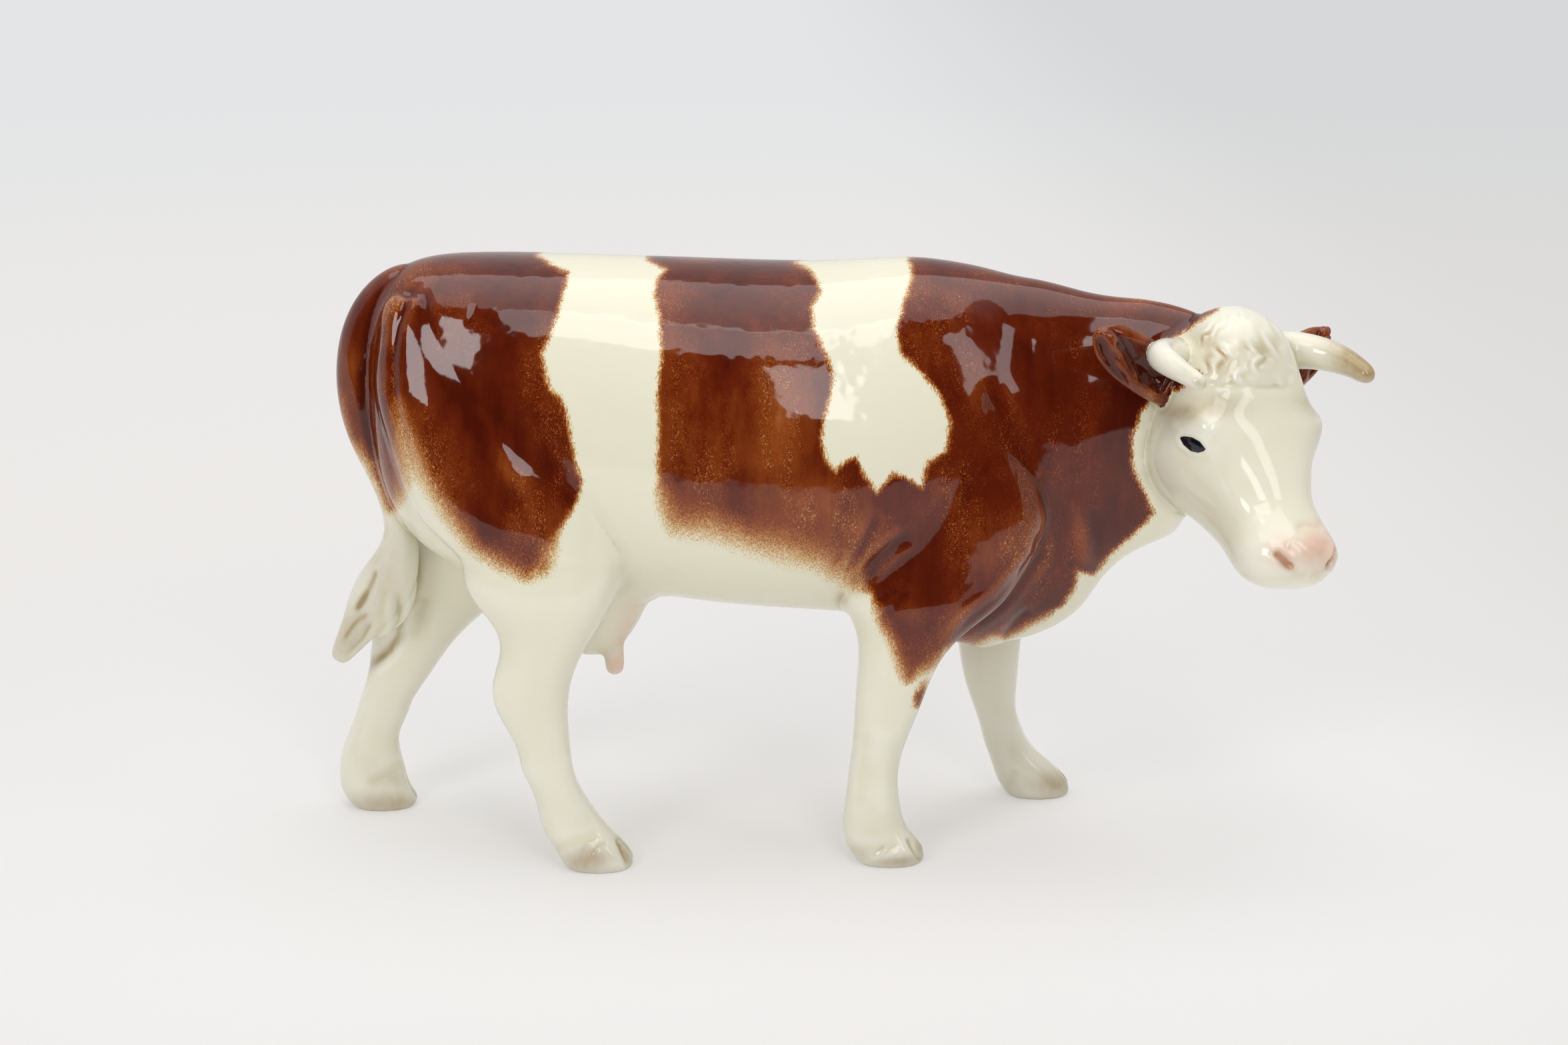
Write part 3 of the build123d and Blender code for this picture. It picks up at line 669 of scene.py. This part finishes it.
# Washes of other glaze: place on the photograph, half length and half height there, tilt in degrees,
# strength, which half it is repeated on and which pieces have it. Where the last kind lies, the brown is
# thinner and lighter: along the soft fade below the middle patch as thinner paint, over the middle of the
# flank and the thigh as painted light
washes = {
    "pink": [
        ((1978, 822), 36, 34, 10, 1.1, "none", "head"),
        ((1930, 830), 30, 24, 25, 0.9, "head", "head"),
        ((943, 952), 40, 20, -75, 0.6, "none", "udder"),
        ((930, 995), 24, 24, 0, 0.9, "none", "udder"),
    ],
    "beige": [
        ((1780, 620), 34, 16, -5, 0.95, "head", "head"),
        ((1822, 610), 46, 20, 0, 0.7, "head", "head"),
        ((1812, 512), 30, 20, 30, 0.85, "none", "head"),
        ((1830, 540), 36, 28, 50, 0.9, "none", "head"),
        ((1890, 530), 46, 30, 0, 0.5, "none", "head"),
        ((1927, 842), 17, 6, 42, 2.2, "head", "head"),
        ((1985, 650), 14, 22, 0, 0.35, "none", "head"),
        ((1776, 557), 26, 9, 35, 0.6, "none", "horn"),
        ((1800, 574), 14, 9, 35, 0.9, "none", "horn"),
        ((2045, 548), 62, 30, 35, 1.7, "none", "horn"),
        ((883, 1290), 34, 20, -10, 1.1, "body", "leg"),
        ((1352, 1292), 40, 9, -4, 0.9, "body", "leg"),
        ((1379, 1276), 10, 16, -25, 1.0, "body", "leg"),
        ((937, 1280), 8, 26, -25, 1.1, "body", "leg"),
        ((1296, 1280), 36, 12, 0, 0.4, "none", "leg"),
        ((1590, 1176), 34, 24, 0, 1.1, "none", "leg"),
        ((585, 1205), 60, 16, 0, 1.0, "none", "leg"),
        ((585, 1168), 34, 16, 0, 0.4, "none", "leg"),
        ((574, 982), 34, 8, -42, 0.9, "none", "tail leg"),
        ((525, 950), 60, 26, -58, 0.8, "none", "tail"),
        ((575, 870), 32, 80, 8, 0.5, "none", "tail"),
        ((543, 903), 22, 8, -60, 1.2, "none", "tail"),
        ((634, 925), 14, 34, 8, 0.25, "none", "leg"),
        ((618, 850), 12, 60, -4, 0.4, "none", "leg torso"),
        ((1262, 897), 8, 12, 0, 0.6, "none", "torso"),
    ],
    "thinnedAndLit": [
        # painted light: lighter, thinner brown over the middle of the flank
        ((1100, 610), 130, 150, 0, 1.0, "body", "torso"),
        # thinner paint along the soft fade below the middle patch
        ((1180, 770), 160, 60, 8, 0.9, "body", "torso"),
        # painted light: lighter, thinner brown over the thigh
        ((760, 700), 90, 110, 0, 0.5, "body", "torso leg"),
    ],
}
washFacing = (-0.2, 0.3)  # how far a wash reaches round to where the surface turns away


def washOver(views, owner, nodes, points, wash):
    strength = np.zeros(len(points))
    half = halves(points)
    for place, reach, height, tilt, amount, side, kinds in wash:
        chosen = chosenKinds(owner, nodes, kinds)
        turn = math.radians(tilt)
        for spots, facing, mine in eachView(views, half, side):
            away = spots - place
            one = (away[:, 0] * math.cos(turn) + away[:, 1] * math.sin(turn)) / reach
            other = (away[:, 1] * math.cos(turn) - away[:, 0] * math.sin(turn)) / height
            here = amount * np.exp(-(one ** 2 + other ** 2)) * chosen * smoothStep(*washFacing, facing)
            strength = np.maximum(strength, here * mine)
    return strength


# How the brown and the washes lie on some pieces, and how deep a hollow shows at full strength
paintPlan = {
    "earBrown": 0.9,
    "earSoftness": 2.0,
    "lockGather": 0.8,  # how much more of the beige lies between the locks
    "hollowRounds": 24,
    "hollowDepth": 0.26 * mm,
}


# Shader helpers
def addNode(tree, kind, inputs=None, **settings):
    made = tree.nodes.new(kind)
    for name, value in settings.items():
        setattr(made, name, value)
    for socket, value in (inputs or {}).items():
        if isinstance(value, bpy.types.NodeSocket):
            tree.links.new(value, made.inputs[socket])
        else:
            made.inputs[socket].default_value = value
    return made


def calc(tree, operation, *values, clamp=False):
    inputs = dict(enumerate(values))
    return addNode(tree, "ShaderNodeMath", inputs, operation=operation, use_clamp=clamp).outputs[0]


def vectorCalc(tree, operation, *values):
    return addNode(tree, "ShaderNodeVectorMath", dict(enumerate(values)), operation=operation).outputs


def fromHalf(tree, value):
    return calc(tree, "SUBTRACT", value, 0.5)  # a noise about nought


def axis(tree, place, name):
    return addNode(tree, "ShaderNodeSeparateXYZ", {0: place}).outputs[name]


def opaque(colour):
    return colour if isinstance(colour, bpy.types.NodeSocket) else (*colour, 1)


def blendColour(tree, share, low, high):
    inputs = {0: share, 6: opaque(low), 7: opaque(high)}
    return addNode(tree, "ShaderNodeMix", inputs, data_type="RGBA").outputs[2]


def spread(tree, value, low, high, first=0.0, last=1.0):
    inputs = {"Value": value, "From Min": low, "From Max": high, "To Min": first, "To Max": last}
    return addNode(tree, "ShaderNodeMapRange", inputs, interpolation_type="SMOOTHSTEP").outputs["Result"]


def noise(tree, place, scale, tilt, detail, roughness):
    if isinstance(scale, tuple):
        inputs = {"Vector": place, "Scale": scale, "Rotation": (0, tilt, 0)}
        place, scale = addNode(tree, "ShaderNodeMapping", inputs).outputs[0], 1.0
    inputs = {"Vector": place, "Scale": scale, "Detail": detail, "Roughness": roughness}
    return addNode(tree, "ShaderNodeTexNoise", inputs).outputs["Fac"]


def noises(tree, place, lay, kinds):
    return [noise(tree, place, *lay[kind]) for kind in kinds.split()]


def ramp(tree, value, stops):
    made = addNode(tree, "ShaderNodeValToRGB", {"Fac": value})
    elements = made.color_ramp.elements
    for index, (place, colour) in enumerate(stops):
        element = elements[index] if index < 2 else elements.new(place)
        element.position, element.color = place, opaque(colour)
    return made.outputs["Color"]


def newGroup(name, inputs, outputs):
    group = bpy.data.node_groups.new(name, "ShaderNodeTree")
    kinds = {"f": "NodeSocketFloat", "c": "NodeSocketColor", "v": "NodeSocketVector"}
    for socket, kind in inputs.items():
        group.interface.new_socket(socket, in_out="INPUT", socket_type=kinds[kind])
    for socket, kind in outputs.items():
        group.interface.new_socket(socket, in_out="OUTPUT", socket_type=kinds[kind])
    return group, group.nodes.new("NodeGroupInput").outputs, group.nodes.new("NodeGroupOutput").inputs


def newMaterial(name, roughness):
    material = bpy.data.materials.new(name)
    material.use_nodes = True
    shader = material.node_tree.nodes["Principled BSDF"]
    shader.inputs["Roughness"].default_value = roughness
    return material, material.node_tree, shader


def useGroup(tree, group, **inputs):
    return addNode(tree, "ShaderNodeGroup", inputs, node_tree=group).outputs


# The glazes. Colours are linear, thin glaze first
glazes = {
    "brown": [(0.0, (0.80, 0.74, 0.54)), (0.12, (0.62, 0.40, 0.18)), (0.30, (0.40, 0.150, 0.040)),
              (0.52, (0.24, 0.050, 0.008)), (0.76, (0.115, 0.0135, 0.0025)), (1.0, (0.065, 0.0058, 0.0014))],
    "cream": (0.81, 0.775, 0.61),
    # pooled cream: glaze pooled in hollows together with painted shade there; the thin cream below is thinner
    # glaze on ridges together with painted light
    "creamPooledAndShaded": (0.62, 0.585, 0.41),
    "creamThinAndLit": (0.85, 0.83, 0.71),
    "beige": (0.40, 0.29, 0.145),
    "pink": (0.76, 0.42, 0.30),
    "eye": (0.006, 0.006, 0.012),
}

# Each glaze's noises: scale, or one for each axis, tilt, detail and roughness
brushLay = {
    "hairs": ((3000, 3000, 800), 0.35, 3.0, 0.65),
    "tufts": ((420, 420, 260), 0.5, 2.0, 0.5),
    "tuftShare": 0.5,
    "grains": (3200.0, 0, 2.0, 0.7),
    "grainShare": 0.7,  # of the softness
    "hair": 2.4,  # millimetres
    "coverEdge": 0.12,
}


def brushGroup():
    # Cover of a brushed edge, from its distance and softness, with hairs that run down the flank
    inputs = {"Place": "v", "Distance": "f", "Softness": "f", "Hair": "f"}
    group, given, made = newGroup("brushEdge", inputs, {"Cover": "f"})
    hairs, tufts, grains = noises(group, given["Place"], brushLay, "hairs tufts grains")
    lift = calc(group, "MULTIPLY_ADD", fromHalf(group, tufts), brushLay["tuftShare"], fromHalf(group, hairs))
    grainShare = calc(group, "MULTIPLY", given["Softness"], brushLay["grainShare"])
    lift = calc(group, "MULTIPLY_ADD", fromHalf(group, grains), grainShare, lift)
    moved = calc(group, "MULTIPLY_ADD", lift, given["Hair"], given["Distance"])
    group.links.new(spread(group, calc(group, "DIVIDE", moved, given["Softness"]), -1.0, 1.0), made["Cover"])
    return group


brownLay = {
    "least": 0.40,
    "clouds": ((60, 60, 34), 0, 3.0, 0.55),
    "cloudShare": 0.9,
    "streaks": ((300, 300, 40), 0.12, 3.0, 0.6),
    "streakShare": 0.45,
    # how far the hollows thicken and darken the brown, partly pooled glaze and partly painted shade
    "hollowPoolAndShadeShare": 0.30,
    # how far the worn wash thins and lightens the brown, partly thinner paint and partly painted light
    "thinnedAndLitShare": -0.16,
    "flecks": (3300.0, 0, 2.0, 0.75),
    "grains": ((1700, 1700, 1100), -0.4, 3.0, 0.65),
    "grainShare": 0.45,
    "patches": (0.85, 0.15),  # how much of the flecks comes in patches, and how much lies everywhere
    "thinning": -0.50,
    "edgePower": 1.3,
}


def brownGroup():
    # Red-brown glaze: thin and orange at its edge and on ridges, nearly black where it pools, with gold
    # flecks. The darker hollows and lighter ridges are partly glaze thickness and partly painted shade and
    # painted light, and where the worn wash lies the brown is thinner and lighter, partly as thinner paint and
    # partly as painted light
    inputs = {"Place": "v", "Cover": "f", "Hollow": "f", "Worn": "f"}
    group, given, made = newGroup("brownGlaze", inputs, {"Color": "c"})
    clouds, streaks, flecks, grains = noises(group, given["Place"], brownLay, "clouds streaks flecks grains")
    thick = calc(group, "MULTIPLY_ADD", clouds, brownLay["cloudShare"], brownLay["least"])
    thick = calc(group, "MULTIPLY_ADD", fromHalf(group, streaks), brownLay["streakShare"], thick)
    # darker brown in hollows and lighter on ridges: partly glaze thickness, partly painted shade and painted
    # light
    thick = calc(group, "MULTIPLY_ADD", given["Hollow"], brownLay["hollowPoolAndShadeShare"], thick)
    # thinner, lighter brown where the worn wash lies: partly thinner paint, partly painted light
    thick = calc(group, "MULTIPLY_ADD", given["Worn"], brownLay["thinnedAndLitShare"], thick)
    patchy = calc(group, "MULTIPLY", spread(group, streaks, 0.40, 0.60), spread(group, clouds, 0.62, 0.40))
    patchy = calc(group, "MULTIPLY_ADD", patchy, *brownLay["patches"])
    thin = calc(group, "MULTIPLY", spread(group, flecks, 0.50, 0.72), patchy)
    dusted = calc(group, "MULTIPLY", spread(group, grains, 0.50, 0.70), patchy)
    thin = calc(group, "MULTIPLY_ADD", dusted, brownLay["grainShare"], thin)
    thick = calc(group, "MULTIPLY_ADD", thin, brownLay["thinning"], thick)
    edge = calc(group, "POWER", given["Cover"], brownLay["edgePower"])
    thickness = calc(group, "MULTIPLY", edge, thick, clamp=True)
    group.links.new(ramp(group, thickness, glazes["brown"]), made["Color"])
    return group


creamLay = {
    "clouds": (55.0, 0, 3.0, 0.5),
    "cloudShare": 0.35,
    # the hollows turn the cream to its pooled colour, partly as painted shade, and the ridges to its thin
    # colour, partly as painted light
    "pooledAndShaded": (0.05, 1.0),
    "thin": (0.0, -0.8),
}


def creamGroup():
    # Clear cream glaze: greener and darker in hollows, whiter on ridges, partly as the glaze pools and thins
    # and partly as painted shade in the hollows and painted light on the ridges
    group, given, made = newGroup("creamGlaze", {"Place": "v", "Hollow": "f"}, {"Color": "c"})
    clouds = noise(group, given["Place"], *creamLay["clouds"])
    pooledAndShaded = calc(group, "MULTIPLY_ADD", fromHalf(group, clouds), creamLay["cloudShare"], given["Hollow"])
    poolAndShade = spread(group, pooledAndShaded, *creamLay["pooledAndShaded"])
    colour = blendColour(group, poolAndShade, glazes["cream"], glazes["creamPooledAndShaded"])
    colour = blendColour(group, spread(group, pooledAndShaded, *creamLay["thin"]), colour, glazes["creamThinAndLit"])
    group.links.new(colour, made["Color"])
    return group


washLay = {
    "clouds": ((420, 420, 260), 0, 3.0, 0.6),
    "cloudShare": 0.6,
    "least": 0.45,
    "gathered": 0.4,  # how much more lies in the hollows
    "ridge": -0.2,
}


def washGroup():
    # A thin wash of coloured glaze, cloudy and gathered into hollows
    inputs = {"Place": "v", "Under": "c", "Wash": "c", "Strength": "f", "Hollow": "f"}
    group, given, made = newGroup("glazeWash", inputs, {"Color": "c"})
    clouds = noise(group, given["Place"], *washLay["clouds"])
    gathered = calc(group, "MAXIMUM", given["Hollow"], washLay["ridge"])
    level = calc(group, "MULTIPLY_ADD", clouds, washLay["cloudShare"], washLay["least"])
    level = calc(group, "MULTIPLY_ADD", gathered, washLay["gathered"], level)
    share = calc(group, "MULTIPLY", given["Strength"], level, clamp=True)
    group.links.new(blendColour(group, share, given["Under"], given["Wash"]), made["Color"])
    return group


waveLay = {
    "broad": (130.0, 0, 2.0, 0.5),
    "fine": (900.0, 0, 2.0, 0.5),
    "fineShare": 0.05,
    "height": 0.06 * mm,
}


def waveGroup():
    # The slight unevenness of a poured glaze, as a height
    group, given, made = newGroup("glazeWaves", {"Place": "v"}, {"Height": "f"})
    broad, fine = noises(group, given["Place"], waveLay, "broad fine")
    group.links.new(calc(group, "MULTIPLY_ADD", fine, waveLay["fineShare"], broad), made["Height"])
    return group


def attribute(tree, name):
    return addNode(tree, "ShaderNodeAttribute", attribute_name=name).outputs["Fac"]


gloss = {
    "roughness": 0.06,
    "ior": 1.5,
}


def glazeMaterial(name, groups):
    material, tree, shader = newMaterial(name, gloss["roughness"])
    place = addNode(tree, "ShaderNodeTexCoord").outputs["Object"]
    hollow = attribute(tree, "hollow")
    cover = useGroup(tree, groups["brush"], Place=place, Distance=attribute(tree, "brown"),
                     Softness=attribute(tree, "soft"), Hair=brushLay["hair"])["Cover"]
    colour = useGroup(tree, groups["cream"], Place=place, Hollow=hollow)["Color"]
    for wash in ("beige", "pink"):
        colour = useGroup(tree, groups["wash"], Place=place, Under=colour, Wash=opaque(glazes[wash]),
                          Strength=attribute(tree, wash), Hollow=hollow)["Color"]
    brown = useGroup(tree, groups["brown"], Place=place, Cover=cover, Hollow=hollow,
                     Worn=attribute(tree, "thinnedAndLit"))["Color"]
    colour = blendColour(tree, spread(tree, cover, 0.0, brushLay["coverEdge"]), colour, brown)
    dark = spread(tree, attribute(tree, "eye"), -eye["paintEdge"], eye["paintEdge"])
    colour = blendColour(tree, dark, colour, glazes["eye"])
    tree.links.new(colour, shader.inputs["Base Color"])
    shader.inputs["IOR"].default_value = gloss["ior"]
    height = useGroup(tree, groups["waves"], Place=place)["Height"]
    bump = addNode(tree, "ShaderNodeBump", {"Height": height, "Distance": waveLay["height"], "Strength": 1.0})
    tree.links.new(bump.outputs["Normal"], shader.inputs["Normal"])
    return material


# The studio: a white table in front of a white backdrop in a dark room, lit by soft boxes beside the camera
studio = {
    "floorColour": (0.85, 0.835, 0.825),
    "floorReach": 3.0,
    "tableEnd": (0.27, 0.31),  # metres in front of the figure, where reflections show the dark room
    "lit": (0.10, 0.03, 0.035),  # metres: half length, half width and offset of the floor that keeps shadows
    "litEdge": (0.01, 0.22),  # metres outside it, between which the backdrop's own white takes over
    # painted light: a share of glowing white that lightens the floor and its shadows near the figure
    "litWhite": 0.43,  # share of that white inside it
    # the paper's glow, painted darker and bluer away from the figure and darker at its right, as painted shade
    # where less light reaches it
    "nearWhite": (0.845, 0.825, 0.81),
    "farWhite": (0.77, 0.782, 0.79),
    "farReach": (0.35, 1.5),
    "sideFade": 0.12,  # how much darker the backdrop is at its right
    "sideReach": (0.06, 0.34),
    "front": 0.03,  # brightness of the room before the table and behind it, where 1 is white paper
    "behind": 0.8,
    "turn": (-0.35, 0.1),  # the part of the way round over which the one gives way to the other
    "aim": 70 * mm,  # height at which the soft boxes are aimed
    "paperRoughness": 0.7,
}
# Each soft box: the way to it in degrees to the right of the cow's side and above the table, its distance
# and size in metres, and its brightness, where 1 is white paper
softboxes = [
    {"name": "softboxLeft", "way": (-40, 30), "distance": 0.95, "size": (0.30, 0.42), "brightness": 6.2},
    {"name": "softboxMiddle", "way": (13, 30), "distance": 0.95, "size": (0.26, 0.50), "brightness": 4.2},
    {"name": "softboxRight", "way": (55, 32), "distance": 0.95, "size": (0.17, 0.46), "brightness": 2.9},
    {"name": "softboxTop", "way": (3, 60), "distance": 0.95, "size": (0.46, 0.36), "brightness": 2.9},
    {"name": "ceiling", "way": (180, 86), "distance": 1.1, "size": (1.5, 1.0), "brightness": 1.45},
]


def makeSoftbox(box):
    lamp = bpy.data.lights.new(box["name"], "AREA")
    lamp.shape = "RECTANGLE"
    lamp.size, lamp.size_y = box["size"]
    lamp.energy = box["brightness"] * math.pi * lamp.size * lamp.size_y
    thing = newObject(box["name"], lamp)
    way = wayTo(*box["way"])
    thing.location = Vector((0, 0, studio["aim"])) + way * box["distance"]
    thing.rotation_euler = way.to_track_quat("Z", "Y").to_euler()


def makeStudio():
    reach = studio["floorReach"]
    corners = [(-reach, -reach, 0), (reach, -reach, 0), (reach, reach, 0), (-reach, reach, 0)]
    mesh = bpy.data.meshes.new("floor")
    mesh.from_pydata(corners, [], [(0, 1, 2, 3)])
    floor = newObject("floor", mesh)
    material, tree, shader = newMaterial("floorPaper", studio["paperRoughness"])
    shader.inputs["Base Color"].default_value = opaque(studio["floorColour"])
    place = addNode(tree, "ShaderNodeTexCoord").outputs["Object"]
    away = vectorCalc(tree, "LENGTH", place)["Value"]
    long, wide, offset = studio["lit"]
    aside = vectorCalc(tree, "ABSOLUTE", vectorCalc(tree, "SUBTRACT", place, (0, offset, 0))[0])[0]
    aside = vectorCalc(tree, "MAXIMUM", vectorCalc(tree, "SUBTRACT", aside, (long, wide, 0))[0], (0, 0, 0))[0]
    outside = vectorCalc(tree, "LENGTH", aside)["Value"]
    # painted light: inside the lit floor a share of glowing white lightens its shadows
    far = spread(tree, outside, *studio["litEdge"], studio["litWhite"], 1.0)
    path = addNode(tree, "ShaderNodeLightPath").outputs
    seen = calc(tree, "MAXIMUM", path["Is Camera Ray"], path["Is Glossy Ray"])
    # painted shade: the glow is darker and bluer far away and darker at the right
    white = blendColour(tree, spread(tree, away, *studio["farReach"]), studio["nearWhite"], studio["farWhite"])
    near, end = studio["tableEnd"]
    room = calc(tree, "MULTIPLY", path["Is Glossy Ray"], spread(tree, axis(tree, place, "Y"), -near, -end))
    side = spread(tree, axis(tree, place, "X"), *studio["sideReach"], 0.0, studio["sideFade"])
    white = blendColour(tree, side, white, (0, 0, 0))
    white = blendColour(tree, room, white, (studio["front"],) * 3)
    glow = addNode(tree, "ShaderNodeEmission", {"Color": white}).outputs[0]
    share = calc(tree, "MAXIMUM", calc(tree, "MULTIPLY", far, seen), room)
    mix = addNode(tree, "ShaderNodeMixShader", {0: share, 1: shader.outputs[0], 2: glow})
    tree.links.new(mix.outputs[0], tree.nodes["Material Output"].inputs["Surface"])
    mesh.materials.append(material)
    world = bpy.data.worlds.new("studio")
    bpy.context.scene.world = world
    world.use_nodes = True
    tree = world.node_tree
    around = addNode(tree, "ShaderNodeTexCoord").outputs["Generated"]
    level = spread(tree, axis(tree, around, "Y"), *studio["turn"], studio["front"], studio["behind"])
    colour = blendColour(tree, level, (0, 0, 0), studio["farWhite"])
    tree.links.new(colour, tree.nodes["Background"].inputs["Color"])
    for box in softboxes:
        makeSoftbox(box)


def makePiece(name, points, faces, normals, fields, material, slot, *nodes):
    used, spots = np.unique(faces, return_inverse=True)
    mesh = bpy.data.meshes.new(name)
    mesh.from_pydata(points[used], [], spots.reshape(faces.shape).tolist())
    mesh.polygons.foreach_set("use_smooth", np.ones(len(mesh.polygons), bool))
    for field, values in fields.items():
        made = mesh.attributes.new(field, "FLOAT", "POINT")
        made.data.foreach_set("value", values[used].astype(np.float32))
    mesh.normals_split_custom_set_from_vertices(normals[used])
    mesh.materials.append(material)
    piece = newObject(name, mesh)
    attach(piece, body)
    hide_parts(*nodes)


makeCamera()
makeStudio()
print("camera, floor and lamps")

groups = {
    "brush": brushGroup(),
    "brown": brownGroup(),
    "cream": creamGroup(),
    "wash": washGroup(),
    "waves": waveGroup(),
}
print("glazes")

nodes = sorted(frame["nodes"])
voxel = skinPlan["voxel"]
skin = fuse(nodes, voxel)
edges = readValues(skin.edges, "vertices", 2, int)
points = readValues(skin.vertices, "co", 3)
owner = nearestNode(points, nodes)
melt = meltWeights(points, owner, nodes, "melt")[:, None]
points = soften(points, edges, skinPlan["rounds"], melt)
weight = meltWeights(points, owner, nodes, "filled")
rounds = roundsFor(skinPlan["fillReach"], voxel)
points = fillHollows(points, setPoints(skin, points), edges, rounds, weight)
udderLow, udderHigh = (np.array(corner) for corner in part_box("udder"))
fromUdder = np.linalg.norm((points - (udderLow + udderHigh) / 2) / skinPlan["udderReach"], axis=1)
weight = smoothStep(1, skinPlan["udderFade"], fromUdder)
rounds = roundsFor(skinPlan["udderFill"], voxel)
points = fillHollows(points, setPoints(skin, points), edges, rounds, weight)
points = soften(points, edges, skinPlan["lastRounds"], melt)
points = blendForms(points, edges, voxel)
print("skin fused", len(points), "points")

for strokes, usual in ((reliefStrokes, "body"), (headStrokes, "head")):
    normals = setPoints(skin, points)
    views = makeViews(points, normals)
    points = points + normals * reliefShift(views, owner, nodes, points, strokes, usual)[:, None]
normals = setPoints(skin, points)
shift, betweenLocks = forelockShift(makeViews(points, normals), owner, nodes, points)
points = points + normals * shift[:, None]
points = soften(points, edges, skinPlan["reliefRounds"], skinPlan["reliefMelt"])
normals = setPoints(skin, points)
distance = eyeDistance(makeViews(points, normals), points)
points = points + normals * eyeShift(distance)[:, None]
points = np.clip(points, *(np.array(corner) for corner in cadBox))
normals = setPoints(skin, points)
print("skin modelled")

# How hollow each place is. The glazes darken with it in hollows and lighten on ridges, partly as pooled and
# thinned glaze and partly as painted shade and painted light
rounded = points.copy()
for _ in range(paintPlan["hollowRounds"]):
    rounded = neighbourMean(rounded, edges)
hollow = np.clip(((rounded - points) * normals).sum(1) / paintPlan["hollowDepth"], -1, 1)
views = makeViews(points, normals)
brown, soft = coatDistance(points, views)
brown[chosenKinds(owner, nodes, "horn")] = farOutside
ears = chosenKinds(owner, nodes, "ear")
brown[ears] = np.maximum(brown[ears], paintPlan["earBrown"])
soft[ears] = paintPlan["earSoftness"]
fields = {"hollow": hollow, "brown": brown, "soft": soft, "eye": eyeDistance(views, points)}
for wash, places in washes.items():
    fields[wash] = washOver(views, owner, nodes, points, places)
fields["beige"] = fields["beige"] * (1 + paintPlan["lockGather"] * betweenLocks)
print("coat painted")

slotOf = {part["node"]: part["material_slot"] for part in frame["record"]["subparts"]}
materials = {slot: glazeMaterial(slot, groups) for slot in sorted(set(slotOf.values()))}
faces = readValues(skin.polygons, "vertices", 4, int)
faceOwner = owner[faces].max(1)
for index, node in enumerate(nodes):
    slot = slotOf[node]
    own = faces[faceOwner == index]
    makePiece(node + "_skin", points, own, normals, fields, materials[slot], slot, node)
bpy.data.meshes.remove(skin)
print("pieces cut")
